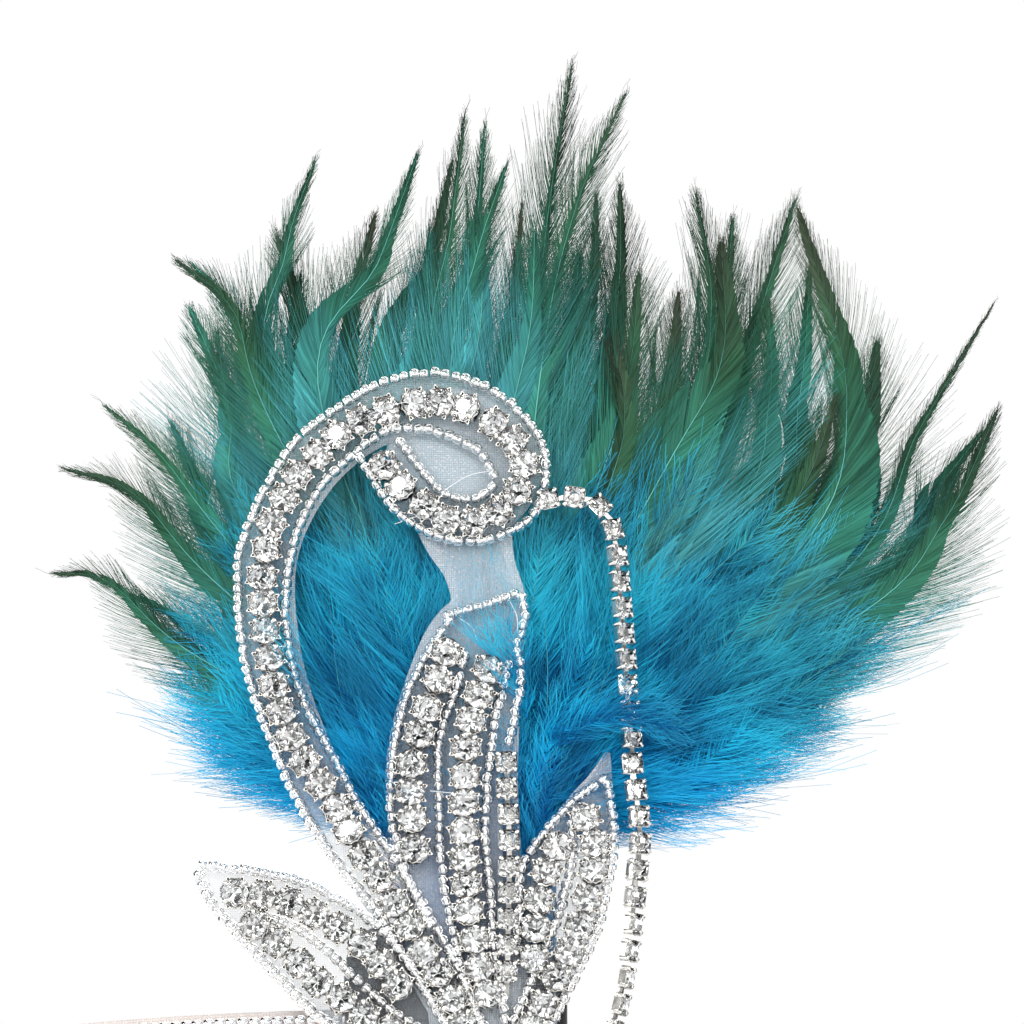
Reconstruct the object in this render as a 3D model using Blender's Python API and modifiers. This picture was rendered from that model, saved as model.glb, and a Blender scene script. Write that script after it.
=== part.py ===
"""Flapper headband: a beaded organza band on an elastic, with a stone-set net ornament and a feather plume.

The loop lies level round the head. +X points to the back of the head, -Y out of the side that
carries the ornament, and +Z up. The origin is the middle of the loop, half-way up the band.
Everything on the ornament is laid out flat on the ground first, with X across, Y up the ornament
and Z as the lift out from the band, and is then stood up and wrapped round the side of the head.
"""

from collections import namedtuple
from math import cos, pi, radians, sin, tan

import bmesh
import bpy
import numpy as np
from mathutils import Matrix, Vector

MM = 0.001
GAP = 0.3 * MM

# Loop round the head
LOOP_HALF_LENGTH = 98 * MM
LOOP_HALF_DEPTH = 78 * MM
BAND_WIDTH = 25 * MM
BAND_THICKNESS = 1.0 * MM
BAND_START = radians(-82)
BAND_END = radians(-300)
BAND_SEGMENTS = 56
ELASTIC_WIDTH = 15 * MM
ELASTIC_THICKNESS = 1.2 * MM
ELASTIC_START = radians(-98)
ELASTIC_END = radians(66)
ELASTIC_SEGMENTS = 38

# Wrap of the ornament round the side of the head: a round middle that runs on straight,
# while the sides ride up as they fall back
WRAP_RADIUS = LOOP_HALF_LENGTH ** 2 / LOOP_HALF_DEPTH
WRAP_REACH = 30 * MM
WRAP_STEP = 10 * MM
SIDE_RISE = radians(12)

# Felt patch
PATCH_WIDTH = 35.5 * MM
PATCH_HEIGHT = 39.5 * MM
PATCH_FOOT = -12 * MM
PATCH_CORNER = 8 * MM
PATCH_THICKNESS = 2.0 * MM

# Plume
PAD_WIDTH = 24 * MM
PAD_THICKNESS = 3.0 * MM
PAD_FOOT = 19 * MM
PAD_TOP = 52 * MM
DOWN_CENTRE_X = 13 * MM
DOWN_CENTRE_Z = 84 * MM
DOWN_HALF_WIDTH = 52 * MM
DOWN_HALF_HEIGHT = 35 * MM
DOWN_HALF_THICKNESS = 4 * MM
FEATHER_THICKNESS = 1.3 * MM
FEATHER_ROWS = 9
HACKLE_ROOT_X = 4 * MM
HACKLE_ROOT_Z = 46 * MM
LAYER_LIFTS = (-0.3 * MM, 0.8 * MM, -1.1 * MM, 0.3 * MM)
QUILL_WIDTH = 2.5 * MM
FEATHER_TIP_WIDTH = 0.8 * MM

# Net and stones
NET_THICKNESS = 1.0 * MM
CURL_X = 1.0 * MM
CURL_Z = 101.6 * MM
CURL_RADIUS = 13.9 * MM
CURL_SIDES = 28
STRIP_STEP = 6.5 * MM
STONE_SIDES = 8
CLAW_STONE = 4.3 * MM
CLAW_PITCH = 4.5 * MM
CUP_STONE = 3.1 * MM
CUP_PITCH = 4.3 * MM
SETTING_HEIGHT = 1.1 * MM
CROWN_HEIGHT = 0.8 * MM
TABLE_SHARE = 0.55

# Lifts: how far out from the middle of the band each layer lies
PATCH_BACK = BAND_THICKNESS / 2 + GAP
PAD_BACK = PATCH_BACK + PATCH_THICKNESS + GAP
NET_BACK = PAD_BACK + PAD_THICKNESS + GAP
STONE_BACK = NET_BACK + NET_THICKNESS + GAP
DOWN_LIFT = PAD_BACK + PAD_THICKNESS - DOWN_HALF_THICKNESS
DRAPE_LIFT = STONE_BACK + 0.4 * MM

# Net strips: middle of the strip and its width, in millimetres, one row a section
Section = namedtuple("Section", "x z width")
NET_STRIPS = {
    "crook": (
        Section(5.0, 5.5, 8.5),
        Section(-1.0, 15.0, 8.5),
        Section(-7.5, 26.5, 8.5),
        Section(-18.0, 42.5, 8.8),
        Section(-25.8, 58.5, 9.4),
        Section(-29.6, 73.0, 10.2),
        Section(-29.4, 87.0, 10.0),
        Section(-23.8, 99.2, 8.8),
        Section(-14.5, 107.6, 9.0),
        Section(-4.0, 110.4, 9.2),
    ),
    "centre_leaf": (
        Section(1.0, 90.0, 16.0),
        Section(3.9, 83.6, 11.0),
        Section(5.1, 77.5, 12.6),
        Section(2.2, 68.5, 17.4),
        Section(-0.6, 51.5, 21.0),
        Section(0.8, 34.5, 19.5),
        Section(3.0, 19.5, 16.5),
        Section(3.6, 5.0, 14.0),
        Section(3.6, -6.0, 8.0),
    ),
    "right_leaf": (
        Section(24.2, 54.0, 0.8),
        Section(23.0, 49.6, 4.0),
        Section(20.8, 43.8, 8.6),
        Section(18.4, 36.0, 13.2),
        Section(16.0, 27.5, 12.6),
        Section(13.6, 18.5, 10.5),
        Section(9.0, 6.5, 10.0),
    ),
    "left_leaf": (
        Section(-41.6, 34.8, 1.0),
        Section(-38.2, 32.4, 6.0),
        Section(-31.0, 29.2, 11.6),
        Section(-24.2, 24.8, 16.0),
        Section(-16.0, 18.5, 17.2),
        Section(-5.5, 11.0, 13.0),
        Section(1.5, 6.5, 8.0),
    ),
}

# Stone rows: the line that each row follows on the net, in millimetres
Point = namedtuple("Point", "x z")
CLAW_ROWS = {
    "crook_stones": (
        Point(3.6, 1.5),
        Point(0.8, 11.1),
        Point(-5.3, 22.7),
        Point(-13.3, 35.3),
        Point(-20.3, 46.8),
        Point(-27.2, 58.2),
        Point(-30.2, 72.1),
        Point(-30.7, 86.9),
        Point(-25.1, 99.1),
        Point(-15.7, 107.5),
        Point(-3.8, 110.9),
        Point(6.1, 107.3),
        Point(10.6, 101.6),
        Point(9.4, 95.4),
        Point(4.6, 91.6),
        Point(-1.2, 91.4),
        Point(-6.4, 94.8),
        Point(-11.6, 100.2),
    ),
    "centre_leaf_stones_left": (
        Point(-1.6, 69.9),
        Point(-5.3, 58.4),
        Point(-7.2, 48.4),
        Point(-6.4, 38.1),
    ),
    "centre_leaf_stones_middle": (
        Point(5.1, 67.2),
        Point(2.4, 59.2),
        Point(1.4, 51.7),
        Point(1.4, 38.4),
        Point(2.8, 24.0),
        Point(4.8, 15.0),
    ),
    "right_leaf_stones_outer": (
        Point(20.6, 43.2),
        Point(22.3, 37.3),
        Point(21.1, 31.2),
        Point(18.4, 22.7),
        Point(14.2, 13.4),
        Point(9.8, 5.5),
    ),
    "right_leaf_stones_inner": (
        Point(16.2, 38.6),
        Point(14.0, 33.0),
        Point(13.0, 28.0),
        Point(12.6, 20.5),
    ),
    "left_leaf_stones_upper": (
        Point(-35.0, 30.8),
        Point(-28.6, 30.3),
        Point(-22.8, 28.0),
        Point(-15.0, 22.9),
        Point(-9.0, 16.4),
    ),
    "left_leaf_stones_lower": (
        Point(-31.7, 25.8),
        Point(-27.4, 22.4),
        Point(-23.4, 18.2),
        Point(-15.0, 11.8),
        Point(-6.5, 7.0),
    ),
}
SEWN_CHAIN = (
    Point(8.1, 52.2),
    Point(8.5, 36.0),
    Point(8.2, 18.6),
)

# Drape: the loose cup chain, with its lift above the stones' own lift, in millimetres
Hang = namedtuple("Hang", "x lift z")
DRAPE = (
    Hang(14.8, 0.0, 94.6),
    Hang(18.9, 0.0, 95.3),
    Hang(22.6, 0.2, 93.4),
    Hang(24.7, 0.4, 89.3),
    Hang(25.7, 0.6, 81.3),
    Hang(26.7, 0.8, 68.0),
    Hang(27.8, 1.0, 53.0),
    Hang(28.9, 0.8, 41.6),
    Hang(28.4, 0.2, 33.4),
    Hang(27.2, -0.8, 24.0),
    Hang(25.6, -2.0, 14.5),
    Hang(22.9, -3.6, 6.0),
    Hang(18.8, -4.9, 0.0),
    Hang(14.6, -4.9, -3.4),
)

# Plume: where each feather bends, where it ends, how wide it is and how far its tip leans out,
# in millimetres
Feather = namedtuple("Feather", "mid_x mid_z tip_x tip_z width tip_lift")
HACKLES = (
    Feather(-36.0, 76.0, -65.0, 83.3, 13.0, -2.0),
    Feather(-37.0, 84.0, -63.0, 100.4, 14.0, 1.0),
    Feather(-34.0, 91.0, -56.5, 110.6, 15.0, -4.0),
    Feather(-27.0, 108.0, -45.8, 135.0, 18.0, 0.0),
    Feather(-28.5, 114.0, -22.7, 151.5, 14.0, -5.0),
    Feather(-20.0, 117.0, -6.1, 152.6, 17.0, 1.5),
    Feather(-6.0, 121.0, -0.8, 151.5, 13.0, -4.0),
    Feather(-3.0, 124.0, 1.4, 159.2, 15.0, -1.0),
    Feather(3.0, 126.0, 8.2, 150.7, 14.0, 2.0),
    Feather(11.0, 127.0, 18.7, 168.3, 16.0, -6.0),
    Feather(14.0, 122.0, 27.4, 162.4, 15.0, 0.5),
    Feather(24.0, 124.0, 26.6, 147.4, 16.0, -3.0),
    Feather(44.0, 118.0, 38.6, 145.8, 15.0, -5.0),
    Feather(37.0, 108.0, 42.7, 137.6, 15.0, 2.0),
    Feather(44.0, 112.0, 54.7, 145.0, 17.0, -3.0),
    Feather(62.0, 103.0, 55.5, 143.3, 21.0, 0.0),
    Feather(64.0, 92.0, 86.7, 127.8, 10.0, -4.0),
    Feather(68.0, 84.0, 87.0, 110.1, 17.0, 1.0),
)
DOWN_TUFTS = (
    Feather(-32.0, 75.0, -51.0, 77.0, 20.0, -1.0),
    Feather(-31.0, 66.0, -48.0, 62.0, 20.0, 1.0),
    Feather(-26.0, 58.0, -39.0, 49.0, 18.0, -1.0),
    Feather(-12.0, 54.0, -25.0, 41.0, 17.0, 0.5),
    Feather(62.0, 94.0, 82.0, 100.0, 20.0, 0.0),
    Feather(61.0, 85.0, 79.0, 88.0, 21.0, -2.0),
    Feather(58.0, 76.0, 73.0, 75.0, 21.0, 1.0),
    Feather(52.0, 66.0, 66.5, 61.0, 20.0, -1.0),
    Feather(44.0, 60.0, 55.0, 48.0, 19.0, -2.0),
    Feather(35.0, 57.0, 43.0, 42.0, 18.0, 0.0),
    Feather(25.0, 54.0, 30.5, 39.0, 17.0, -1.0),
)

Finish = namedtuple("Finish", "color roughness metallic")
FINISHES = {
    "organza": Finish((0.74, 0.62, 0.57), 0.45, 0.0),
    "elastic": Finish((0.015, 0.015, 0.017), 0.8, 0.0),
    "felt": Finish((0.012, 0.012, 0.014), 0.95, 0.0),
    "net": Finish((0.55, 0.62, 0.68), 0.4, 0.0),
    "feather": Finish((0.01, 0.22, 0.34), 0.6, 0.0),
    "stones": Finish((0.82, 0.84, 0.86), 0.12, 0.6),
}


def clear_scene():
    """Start from an empty scene."""
    for obj in list(bpy.data.objects):
        bpy.data.objects.remove(obj, do_unlink=True)


def new_collection(name):
    collection = bpy.data.collections.new(name)
    bpy.context.scene.collection.children.link(collection)
    return collection


def make_material(name):
    """One plain Principled material from the finish table."""
    finish = FINISHES[name]
    material = bpy.data.materials.new(name)
    material.use_nodes = True
    shader = material.node_tree.nodes["Principled BSDF"]
    shader.inputs["Base Color"].default_value = (*finish.color, 1.0)
    shader.inputs["Roughness"].default_value = finish.roughness
    shader.inputs["Metallic"].default_value = finish.metallic
    return material


def object_from_bmesh(name, bm, collection, material=None):
    """Turn a bmesh into an object whose faces point outwards."""
    bmesh.ops.recalc_face_normals(bm, faces=bm.faces)
    mesh = bpy.data.meshes.new(name)
    bm.to_mesh(mesh)
    bm.free()
    obj = bpy.data.objects.new(name, mesh)
    collection.objects.link(obj)
    if material:
        mesh.materials.append(material)
    return obj


def smooth_path(rows, spacing):
    """Points a fixed spacing apart on a smooth curve through the rows, whatever their columns.

    The curve is a Catmull-Rom spline. Arc length is taken over the place columns alone,
    which are x and z in every table.
    """
    knots = np.array(rows, dtype=float) * MM
    names = rows[0]._fields
    place = [names.index("x"), names.index("z")]
    padded = np.vstack([2 * knots[0] - knots[1], knots, 2 * knots[-1] - knots[-2]])
    t = np.linspace(0, 1, 12, endpoint=False)[:, None]
    pieces = []
    for i in range(len(knots) - 1):
        p0, p1, p2, p3 = padded[i:i + 4]
        cubic = 2 * p0 - 5 * p1 + 4 * p2 - p3
        pieces.append(0.5 * (2 * p1 + (p2 - p0) * t + cubic * t ** 2 + (3 * p1 - p0 - 3 * p2 + p3) * t ** 3))
    dense = np.vstack(pieces + [knots[-1:]])
    steps = np.linalg.norm(np.diff(dense[:, place], axis=0), axis=1)
    length = np.concatenate([[0], np.cumsum(steps)])
    count = max(2, round(length[-1] / spacing) + 1)
    stations = np.linspace(0, length[-1], count)
    return np.column_stack([np.interp(stations, length, column) for column in dense.T])


def recede(x):
    """How far the wrapped ornament falls back towards the head at a distance x from its middle."""
    reach = min(abs(x), WRAP_REACH)
    return reach ** 2 / (2 * WRAP_RADIUS) + (abs(x) - reach) * WRAP_REACH / WRAP_RADIUS


def wrap(obj):
    """Stand a flat piece of the ornament up and bend it round the side of the head."""
    for vertex in obj.data.vertices:
        x, height, lift = vertex.co
        vertex.co = (x, recede(x) - LOOP_HALF_DEPTH - lift, height + recede(x) * tan(SIDE_RISE))
    obj.data.update()


def slice_upright(obj):
    """Cut a wide flat piece into upright strips, so that it bends smoothly."""
    bm = bmesh.new()
    bm.from_mesh(obj.data)
    xs = [vertex.co.x for vertex in bm.verts]
    first = int(min(xs) // WRAP_STEP) + 1
    last = int(max(xs) // WRAP_STEP) + 1
    for i in range(first, last):
        geometry = bm.verts[:] + bm.edges[:] + bm.faces[:]
        bmesh.ops.bisect_plane(bm, geom=geometry, dist=0.00001, plane_co=(i * WRAP_STEP, 0, 0), plane_no=(1, 0, 0))
    bm.to_mesh(obj.data)
    bm.free()


def mesh_from_curve(curve_obj, collection):
    """Replace a curve object by a welded mesh object in the same place."""
    bpy.context.view_layer.update()
    depsgraph = bpy.context.evaluated_depsgraph_get()
    mesh = bpy.data.meshes.new_from_object(curve_obj.evaluated_get(depsgraph))
    bm = bmesh.new()
    bm.from_mesh(mesh)
    bmesh.ops.remove_doubles(bm, verts=bm.verts, dist=0.00001)
    bmesh.ops.transform(bm, matrix=curve_obj.matrix_world, verts=bm.verts)
    name = curve_obj.name
    bpy.data.objects.remove(curve_obj, do_unlink=True)
    bpy.data.meshes.remove(mesh)
    return object_from_bmesh(name, bm, collection)


def flat_sheet(name, outline, back_lift, thickness, collection):
    """A flat sheet cut to an outline, with its back at a lift above the band."""
    curve = bpy.data.curves.new(name, "CURVE")
    curve.dimensions = "2D"
    curve.fill_mode = "BOTH"
    curve.extrude = thickness / 2
    spline = curve.splines.new("POLY")
    spline.points.add(len(outline) - 1)
    for point, (x, height) in zip(spline.points, outline):
        point.co = (x, height, 0, 1)
    spline.use_cyclic_u = True
    obj = bpy.data.objects.new(name, curve)
    collection.objects.link(obj)
    obj.location = (0, 0, back_lift + thickness / 2)
    return mesh_from_curve(obj, collection)


def join_solids(obj, others):
    """Fuse other solids into an object in one union and remove them."""
    group = new_collection("joined_to_" + obj.name)
    for other in others:
        group.objects.link(other)
    modifier = obj.modifiers.new("union", "BOOLEAN")
    modifier.operation = "UNION"
    modifier.solver = "EXACT"
    modifier.operand_type = "COLLECTION"
    modifier.collection = group
    bpy.context.view_layer.update()
    depsgraph = bpy.context.evaluated_depsgraph_get()
    mesh = bpy.data.meshes.new_from_object(obj.evaluated_get(depsgraph))
    obj.modifiers.clear()
    old = obj.data
    obj.data = mesh
    bpy.data.meshes.remove(old)
    for other in others:
        bpy.data.objects.remove(other, do_unlink=True)
    bpy.data.collections.remove(group)


def fill_hollows(obj):
    """Keep only the outer skin of a fused solid, so that no sealed hollow is left inside it."""
    bm = bmesh.new()
    bm.from_mesh(obj.data)
    unseen = set(bm.verts)
    skins = []
    while unseen:
        skin = set()
        front = {unseen.pop()}
        while front:
            skin |= front
            front = {edge.other_vert(vertex) for vertex in front for edge in vertex.link_edges} - skin
        unseen -= skin
        skins.append(skin)
    skins.sort(key=len)
    inner = [vertex for skin in skins[:-1] for vertex in skin]
    bmesh.ops.delete(bm, geom=inner, context="VERTS")
    bm.to_mesh(obj.data)
    bm.free()


def strip_outline(rows, spacing):
    """Both edges of a strip whose middle and width follow the rows, as one closed outline."""
    x, z, width = smooth_path(rows, spacing).T
    along = np.column_stack([np.gradient(x), np.gradient(z)])
    along /= np.linalg.norm(along, axis=1)[:, None]
    side = np.column_stack([-along[:, 1], along[:, 0]]) * (width / 2)[:, None]
    middle = np.column_stack([x, z])
    return np.vstack([middle + side, (middle - side)[::-1]])


def round_outline(x, z, radius, sides):
    angles = np.linspace(0, 2 * pi, sides, endpoint=False)
    return np.column_stack([x + radius * np.cos(angles), z + radius * np.sin(angles)])


def rounded_rectangle(x, foot, width, height, corner, steps):
    """A rectangle with round corners, as (x, z) points."""
    turns = np.linspace(0, pi / 2, steps)
    points = []
    for k, (side_x, side_z) in enumerate(((1, 1), (-1, 1), (-1, -1), (1, -1))):
        centre_x = x + side_x * (width / 2 - corner)
        centre_z = foot + height / 2 + side_z * (height / 2 - corner)
        angles = turns + k * pi / 2
        points.append(np.column_stack([centre_x + corner * np.cos(angles), centre_z + corner * np.sin(angles)]))
    return np.vstack(points)


def loop_strip(name, inset, width, thickness, start, end, segments, collection, material):
    """An upright strip of cloth that follows the loop between two angles."""
    bm = bmesh.new()
    bmesh.ops.create_grid(bm, x_segments=segments, y_segments=1, size=0.5)
    for vertex in bm.verts:
        angle = start + (end - start) * (vertex.co.x + 0.5)
        height = vertex.co.y * width
        vertex.co = (
            (LOOP_HALF_LENGTH - inset) * cos(angle),
            (LOOP_HALF_DEPTH - inset) * sin(angle),
            height,
        )
    obj = object_from_bmesh(name, bm, collection, material)
    solidify = obj.modifiers.new("thickness", "SOLIDIFY")
    solidify.thickness = thickness
    solidify.offset = 0
    obj.data.shade_smooth()
    return obj


def build_band(collection):
    """Beaded organza band, from the ornament round the forehead to the far side of the head."""
    loop_strip(
        "beaded_band", 0, BAND_WIDTH, BAND_THICKNESS, BAND_START, BAND_END, BAND_SEGMENTS,
        collection, make_material("organza"),
    )


def build_elastic(collection):
    """Elastic that closes the loop, lying just inside both ends of the band."""
    inset = BAND_THICKNESS / 2 + GAP + ELASTIC_THICKNESS / 2
    loop_strip(
        "back_elastic", inset, ELASTIC_WIDTH, ELASTIC_THICKNESS, ELASTIC_START, ELASTIC_END,
        ELASTIC_SEGMENTS, collection, make_material("elastic"),
    )


def build_patch(collection):
    """Black felt behind the foot of the ornament."""
    outline = rounded_rectangle(0, PATCH_FOOT, PATCH_WIDTH, PATCH_HEIGHT, PATCH_CORNER, 5)
    patch = flat_sheet("felt_patch", outline, PATCH_BACK, PATCH_THICKNESS, collection)
    patch.data.materials.append(make_material("felt"))
    slice_upright(patch)
    wrap(patch)


def build_net(collection, cutters):
    """Net of the applique: the crook, its curl, the centre leaf and the two side leaves in one sheet."""
    strips = []
    for name, rows in NET_STRIPS.items():
        outline = strip_outline(rows, STRIP_STEP)
        strips.append(flat_sheet(name, outline, NET_BACK, NET_THICKNESS, cutters))
    outline = round_outline(CURL_X, CURL_Z, CURL_RADIUS, CURL_SIDES)
    net = flat_sheet("applique_net", outline, NET_BACK, NET_THICKNESS, collection)
    join_solids(net, strips)
    net.data.materials.append(make_material("net"))
    slice_upright(net)
    wrap(net)


def add_stone(bm, place, size):
    """A cut stone in its setting: an eight-sided cup, eight crown facets and a flat table.

    Returns the side faces of the setting that look back and ahead along the row.
    """
    radius = size / 2 / cos(pi / STONE_SIDES)
    turn = Matrix.Rotation(pi / STONE_SIDES, 4, "Z")
    lift = Matrix.Translation((0, 0, SETTING_HEIGHT / 2))
    result = bmesh.ops.create_cone(
        bm, cap_ends=True, segments=STONE_SIDES, radius1=radius, radius2=radius,
        depth=SETTING_HEIGHT, matrix=lift @ turn,
    )
    verts = result["verts"]
    faces = {face for vertex in verts for face in vertex.link_faces}
    sides = [face for face in faces if len(face.verts) == 4]
    back = min(sides, key=lambda face: face.calc_center_median().x)
    ahead = max(sides, key=lambda face: face.calc_center_median().x)
    top = max(faces, key=lambda face: face.calc_center_median().z)
    table = bmesh.ops.extrude_discrete_faces(bm, faces=[top])["faces"][0]
    shrink = Matrix.Diagonal((TABLE_SHARE, TABLE_SHARE, 1, 1))
    rise = Matrix.Translation((0, 0, CROWN_HEIGHT))
    bmesh.ops.transform(bm, matrix=rise @ shrink, verts=table.verts)
    bmesh.ops.transform(bm, matrix=place, verts=list(set(verts) | set(table.verts)))
    return back, ahead


def stone_places(path):
    """A frame at each point of a flat path: X along the row, Z out of the ornament."""
    along = np.gradient(path, axis=0)
    out = Vector((0, 0, 1))
    places = []
    for point, step in zip(path, along):
        ahead = Vector((step[0], step[1], 0)).normalized()
        turn = Matrix((ahead, out.cross(ahead), out)).transposed().to_4x4()
        places.append(Matrix.Translation(point) @ turn)
    return places


def stone_row(name, path, size, collection, material):
    """A row of set stones, each fused to the next by a link between their settings."""
    bm = bmesh.new()
    links = [add_stone(bm, place, size) for place in stone_places(path)]
    for (_, ahead), (back, _) in zip(links[:-1], links[1:]):
        edges = list(ahead.edges) + list(back.edges)
        bmesh.ops.delete(bm, geom=[ahead, back], context="FACES_ONLY")
        bmesh.ops.bridge_loops(bm, edges=edges)
    row = object_from_bmesh(name, bm, collection, material)
    wrap(row)
    return row


def lay_on_net(rows, pitch):
    """Stations a pitch apart along a line drawn on the front of the net."""
    x, height = smooth_path(rows, pitch).T
    return np.column_stack([x, height, np.full_like(x, STONE_BACK)])


def build_stones(collection):
    """Every row of stones on the net, and the cup chain sewn down the centre leaf."""
    material = make_material("stones")
    for name, rows in CLAW_ROWS.items():
        stone_row(name, lay_on_net(rows, CLAW_PITCH), CLAW_STONE, collection, material)
    stone_row("sewn_cup_chain", lay_on_net(SEWN_CHAIN, CUP_PITCH), CUP_STONE, collection, material)
    return material


def build_drape(collection, material):
    """Loose cup chain from the curl to the foot of the ornament."""
    x, lift, height = smooth_path(DRAPE, CUP_PITCH).T
    path = np.column_stack([x, height, DRAPE_LIFT + lift])
    stone_row("chain_drape", path, CUP_STONE, collection, material)


def feather_blade(name, feather, root, collection):
    """A leaf-shaped blade on a curve from its root through its bend to its tip.

    The width swells from the quill to the middle and closes to the tip, as a half sine wave.
    """
    knots = (
        Hang(root[0] / MM, root[1] / MM, root[2] / MM),
        Hang(feather.mid_x, root[1] / MM + 0.4 * feather.tip_lift, feather.mid_z),
        Hang(feather.tip_x, root[1] / MM + feather.tip_lift, feather.tip_z),
    )
    path = smooth_path(knots, 2 * MM)
    bm = bmesh.new()
    bmesh.ops.create_grid(bm, x_segments=1, y_segments=FEATHER_ROWS, size=0.5)
    stations = np.linspace(0, len(path) - 1, FEATHER_ROWS + 1)
    slope = np.gradient(path, axis=0)
    for vertex in bm.verts:
        share = vertex.co.y + 0.5
        at = stations[round(share * FEATHER_ROWS)]
        index = int(round(at))
        x, lift, height = path[index]
        across = Vector((slope[index][2], -slope[index][0], 0)).normalized()
        floor = QUILL_WIDTH + (FEATHER_TIP_WIDTH - QUILL_WIDTH) * share
        width = floor + (feather.width * MM - floor) * sin(pi * share ** 1.3)
        vertex.co = Vector((x, height, lift)) + across * width * vertex.co.x
    blade = object_from_bmesh(name, bm, collection)
    blade.data.update()
    solidify = blade.modifiers.new("thickness", "SOLIDIFY")
    solidify.thickness = FEATHER_THICKNESS
    solidify.offset = 0
    return blade


def build_plume(collection, cutters):
    """Hackles and down tufts fused to a flattened cushion of down and to the root pad."""
    outline = rounded_rectangle(4 * MM, PAD_FOOT, PAD_WIDTH, PAD_TOP - PAD_FOOT, 5 * MM, 4)
    plume = flat_sheet("feather_plume", outline, PAD_BACK, PAD_THICKNESS, collection)
    slice_upright(plume)
    blades = []
    bm = bmesh.new()
    bmesh.ops.create_uvsphere(bm, u_segments=28, v_segments=8, radius=1)
    flatten = Matrix.Diagonal((DOWN_HALF_WIDTH, DOWN_HALF_HEIGHT, DOWN_HALF_THICKNESS, 1))
    place = Matrix.Translation((DOWN_CENTRE_X, DOWN_CENTRE_Z, DOWN_LIFT))
    bmesh.ops.transform(bm, matrix=place @ flatten, verts=bm.verts)
    blades.append(object_from_bmesh("down_cushion", bm, cutters))
    for i, feather in enumerate(HACKLES):
        root = (HACKLE_ROOT_X, DOWN_LIFT + LAYER_LIFTS[i % 4], HACKLE_ROOT_Z)
        blades.append(feather_blade(f"hackle_{i}", feather, root, cutters))
    for i, feather in enumerate(DOWN_TUFTS):
        root = (DOWN_CENTRE_X, DOWN_LIFT + LAYER_LIFTS[i % 4], DOWN_CENTRE_Z)
        blades.append(feather_blade(f"tuft_{i}", feather, root, cutters))
    join_solids(plume, blades)
    fill_hollows(plume)
    plume.data.materials.append(make_material("feather"))
    wrap(plume)


def main():
    clear_scene()
    parts = new_collection("flapper_headband")
    cutters = new_collection("construction")
    build_band(parts)
    build_elastic(parts)
    build_patch(parts)
    build_plume(parts, cutters)
    build_net(parts, cutters)
    material = build_stones(parts)
    build_drape(parts, material)


main()
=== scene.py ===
"""Looks of the flapper headband: feathers, set stones, seed beads, net, organza, elastic and felt.

Everything on the ornament is worked out flat, as (x, height, lift) with the lift out from the
band, and is then stood up and wrapped round the side of the head by the rule that the solids
follow. Tables are in millimetres, and the rest is in metres.
"""

from collections import namedtuple
from functools import cached_property, partial

import bpy
import numpy as np
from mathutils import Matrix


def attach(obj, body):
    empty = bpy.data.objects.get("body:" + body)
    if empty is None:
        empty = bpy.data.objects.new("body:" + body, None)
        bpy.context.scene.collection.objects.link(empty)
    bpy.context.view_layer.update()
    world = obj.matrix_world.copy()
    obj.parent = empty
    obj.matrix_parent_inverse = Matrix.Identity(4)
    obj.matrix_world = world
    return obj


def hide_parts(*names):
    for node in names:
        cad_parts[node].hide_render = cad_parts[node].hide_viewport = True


bl_info = {
    "name": "Flapper headband",
    "version": (1, 0, 0),
    "blender": (4, 5, 0),
    "location": "View3D > Sidebar > Headband",
    "description": "Dresses the solids of a feathered and beaded headband",
    "category": "Object",
}

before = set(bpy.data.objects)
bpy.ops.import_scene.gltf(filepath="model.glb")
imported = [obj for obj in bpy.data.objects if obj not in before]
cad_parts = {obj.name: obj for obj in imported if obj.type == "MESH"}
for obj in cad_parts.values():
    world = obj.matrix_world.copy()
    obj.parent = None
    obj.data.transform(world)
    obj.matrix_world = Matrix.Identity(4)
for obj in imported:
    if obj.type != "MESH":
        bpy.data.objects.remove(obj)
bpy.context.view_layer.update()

MM = 0.001
TURN = 2 * np.pi
SEED = 1925

# Loop and wrap of the ornament, as in the solids
LOOP_HALF_LENGTH = 98 * MM
LOOP_HALF_DEPTH = 78 * MM
BAND_START = np.radians(-82)
BAND_END = np.radians(-300)
ELASTIC_START = np.radians(-98)
ELASTIC_END = np.radians(66)
ELASTIC_INSET = 1.4 * MM
WRAP_RADIUS = LOOP_HALF_LENGTH ** 2 / LOOP_HALF_DEPTH
WRAP_REACH = 30 * MM
SIDE_RISE = np.radians(12)

# Lifts of the layers out from the middle of the band
FELT_BACK = 0.8 * MM
FELT_THICKNESS = 2.0 * MM
PAD_BACK = 3.1 * MM
PAD_THICKNESS = 3.0 * MM
NET_FRONT = 7.4 * MM
STONE_BACK = 7.7 * MM
DRAPE_LIFT = 8.1 * MM

# Cloths and the band's beads
BAND_EDGES = 3 * MM
BAND_THICKNESS = 0.7 * MM
BAND_GATHERS = 0.25 * MM
BAND_BEAD_HEIGHT = 12.2 * MM
BAND_BEAD_LIFT = 0.4 * MM
ELASTIC_THICKNESS = 1.0 * MM
FELT_FOOT = -12 * MM
FELT_SIZE = (35.5 * MM, 39.5 * MM)
FELT_CORNER = 8 * MM
NET_THICKNESS = 0.25 * MM

# Edges of the felt and of the plume's pad: share of the way out, and how far in from each face in mm
FELT_EDGE = ((0.4, 0.0), (0.7, 0.0), (0.95, 0.0), (0.99, 0.3), (1.0, 0.9))
PAD_EDGE = ((0.4, 0.0), (0.7, 0.0), (0.96, 0.1), (1.0, 0.9))

Point = namedtuple("Point", "x z")

# Eye of the picture, and what it looks at
EYE_DISTANCE = 1.4
EYE_DROP = np.radians(12)
SEEN_WIDTH = 0.16384
AIM = Point(8.96, 93.1)

FLOOR_ENDS = (-4.0, 4.0)
FLOOR_HEIGHT = -0.5

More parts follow.
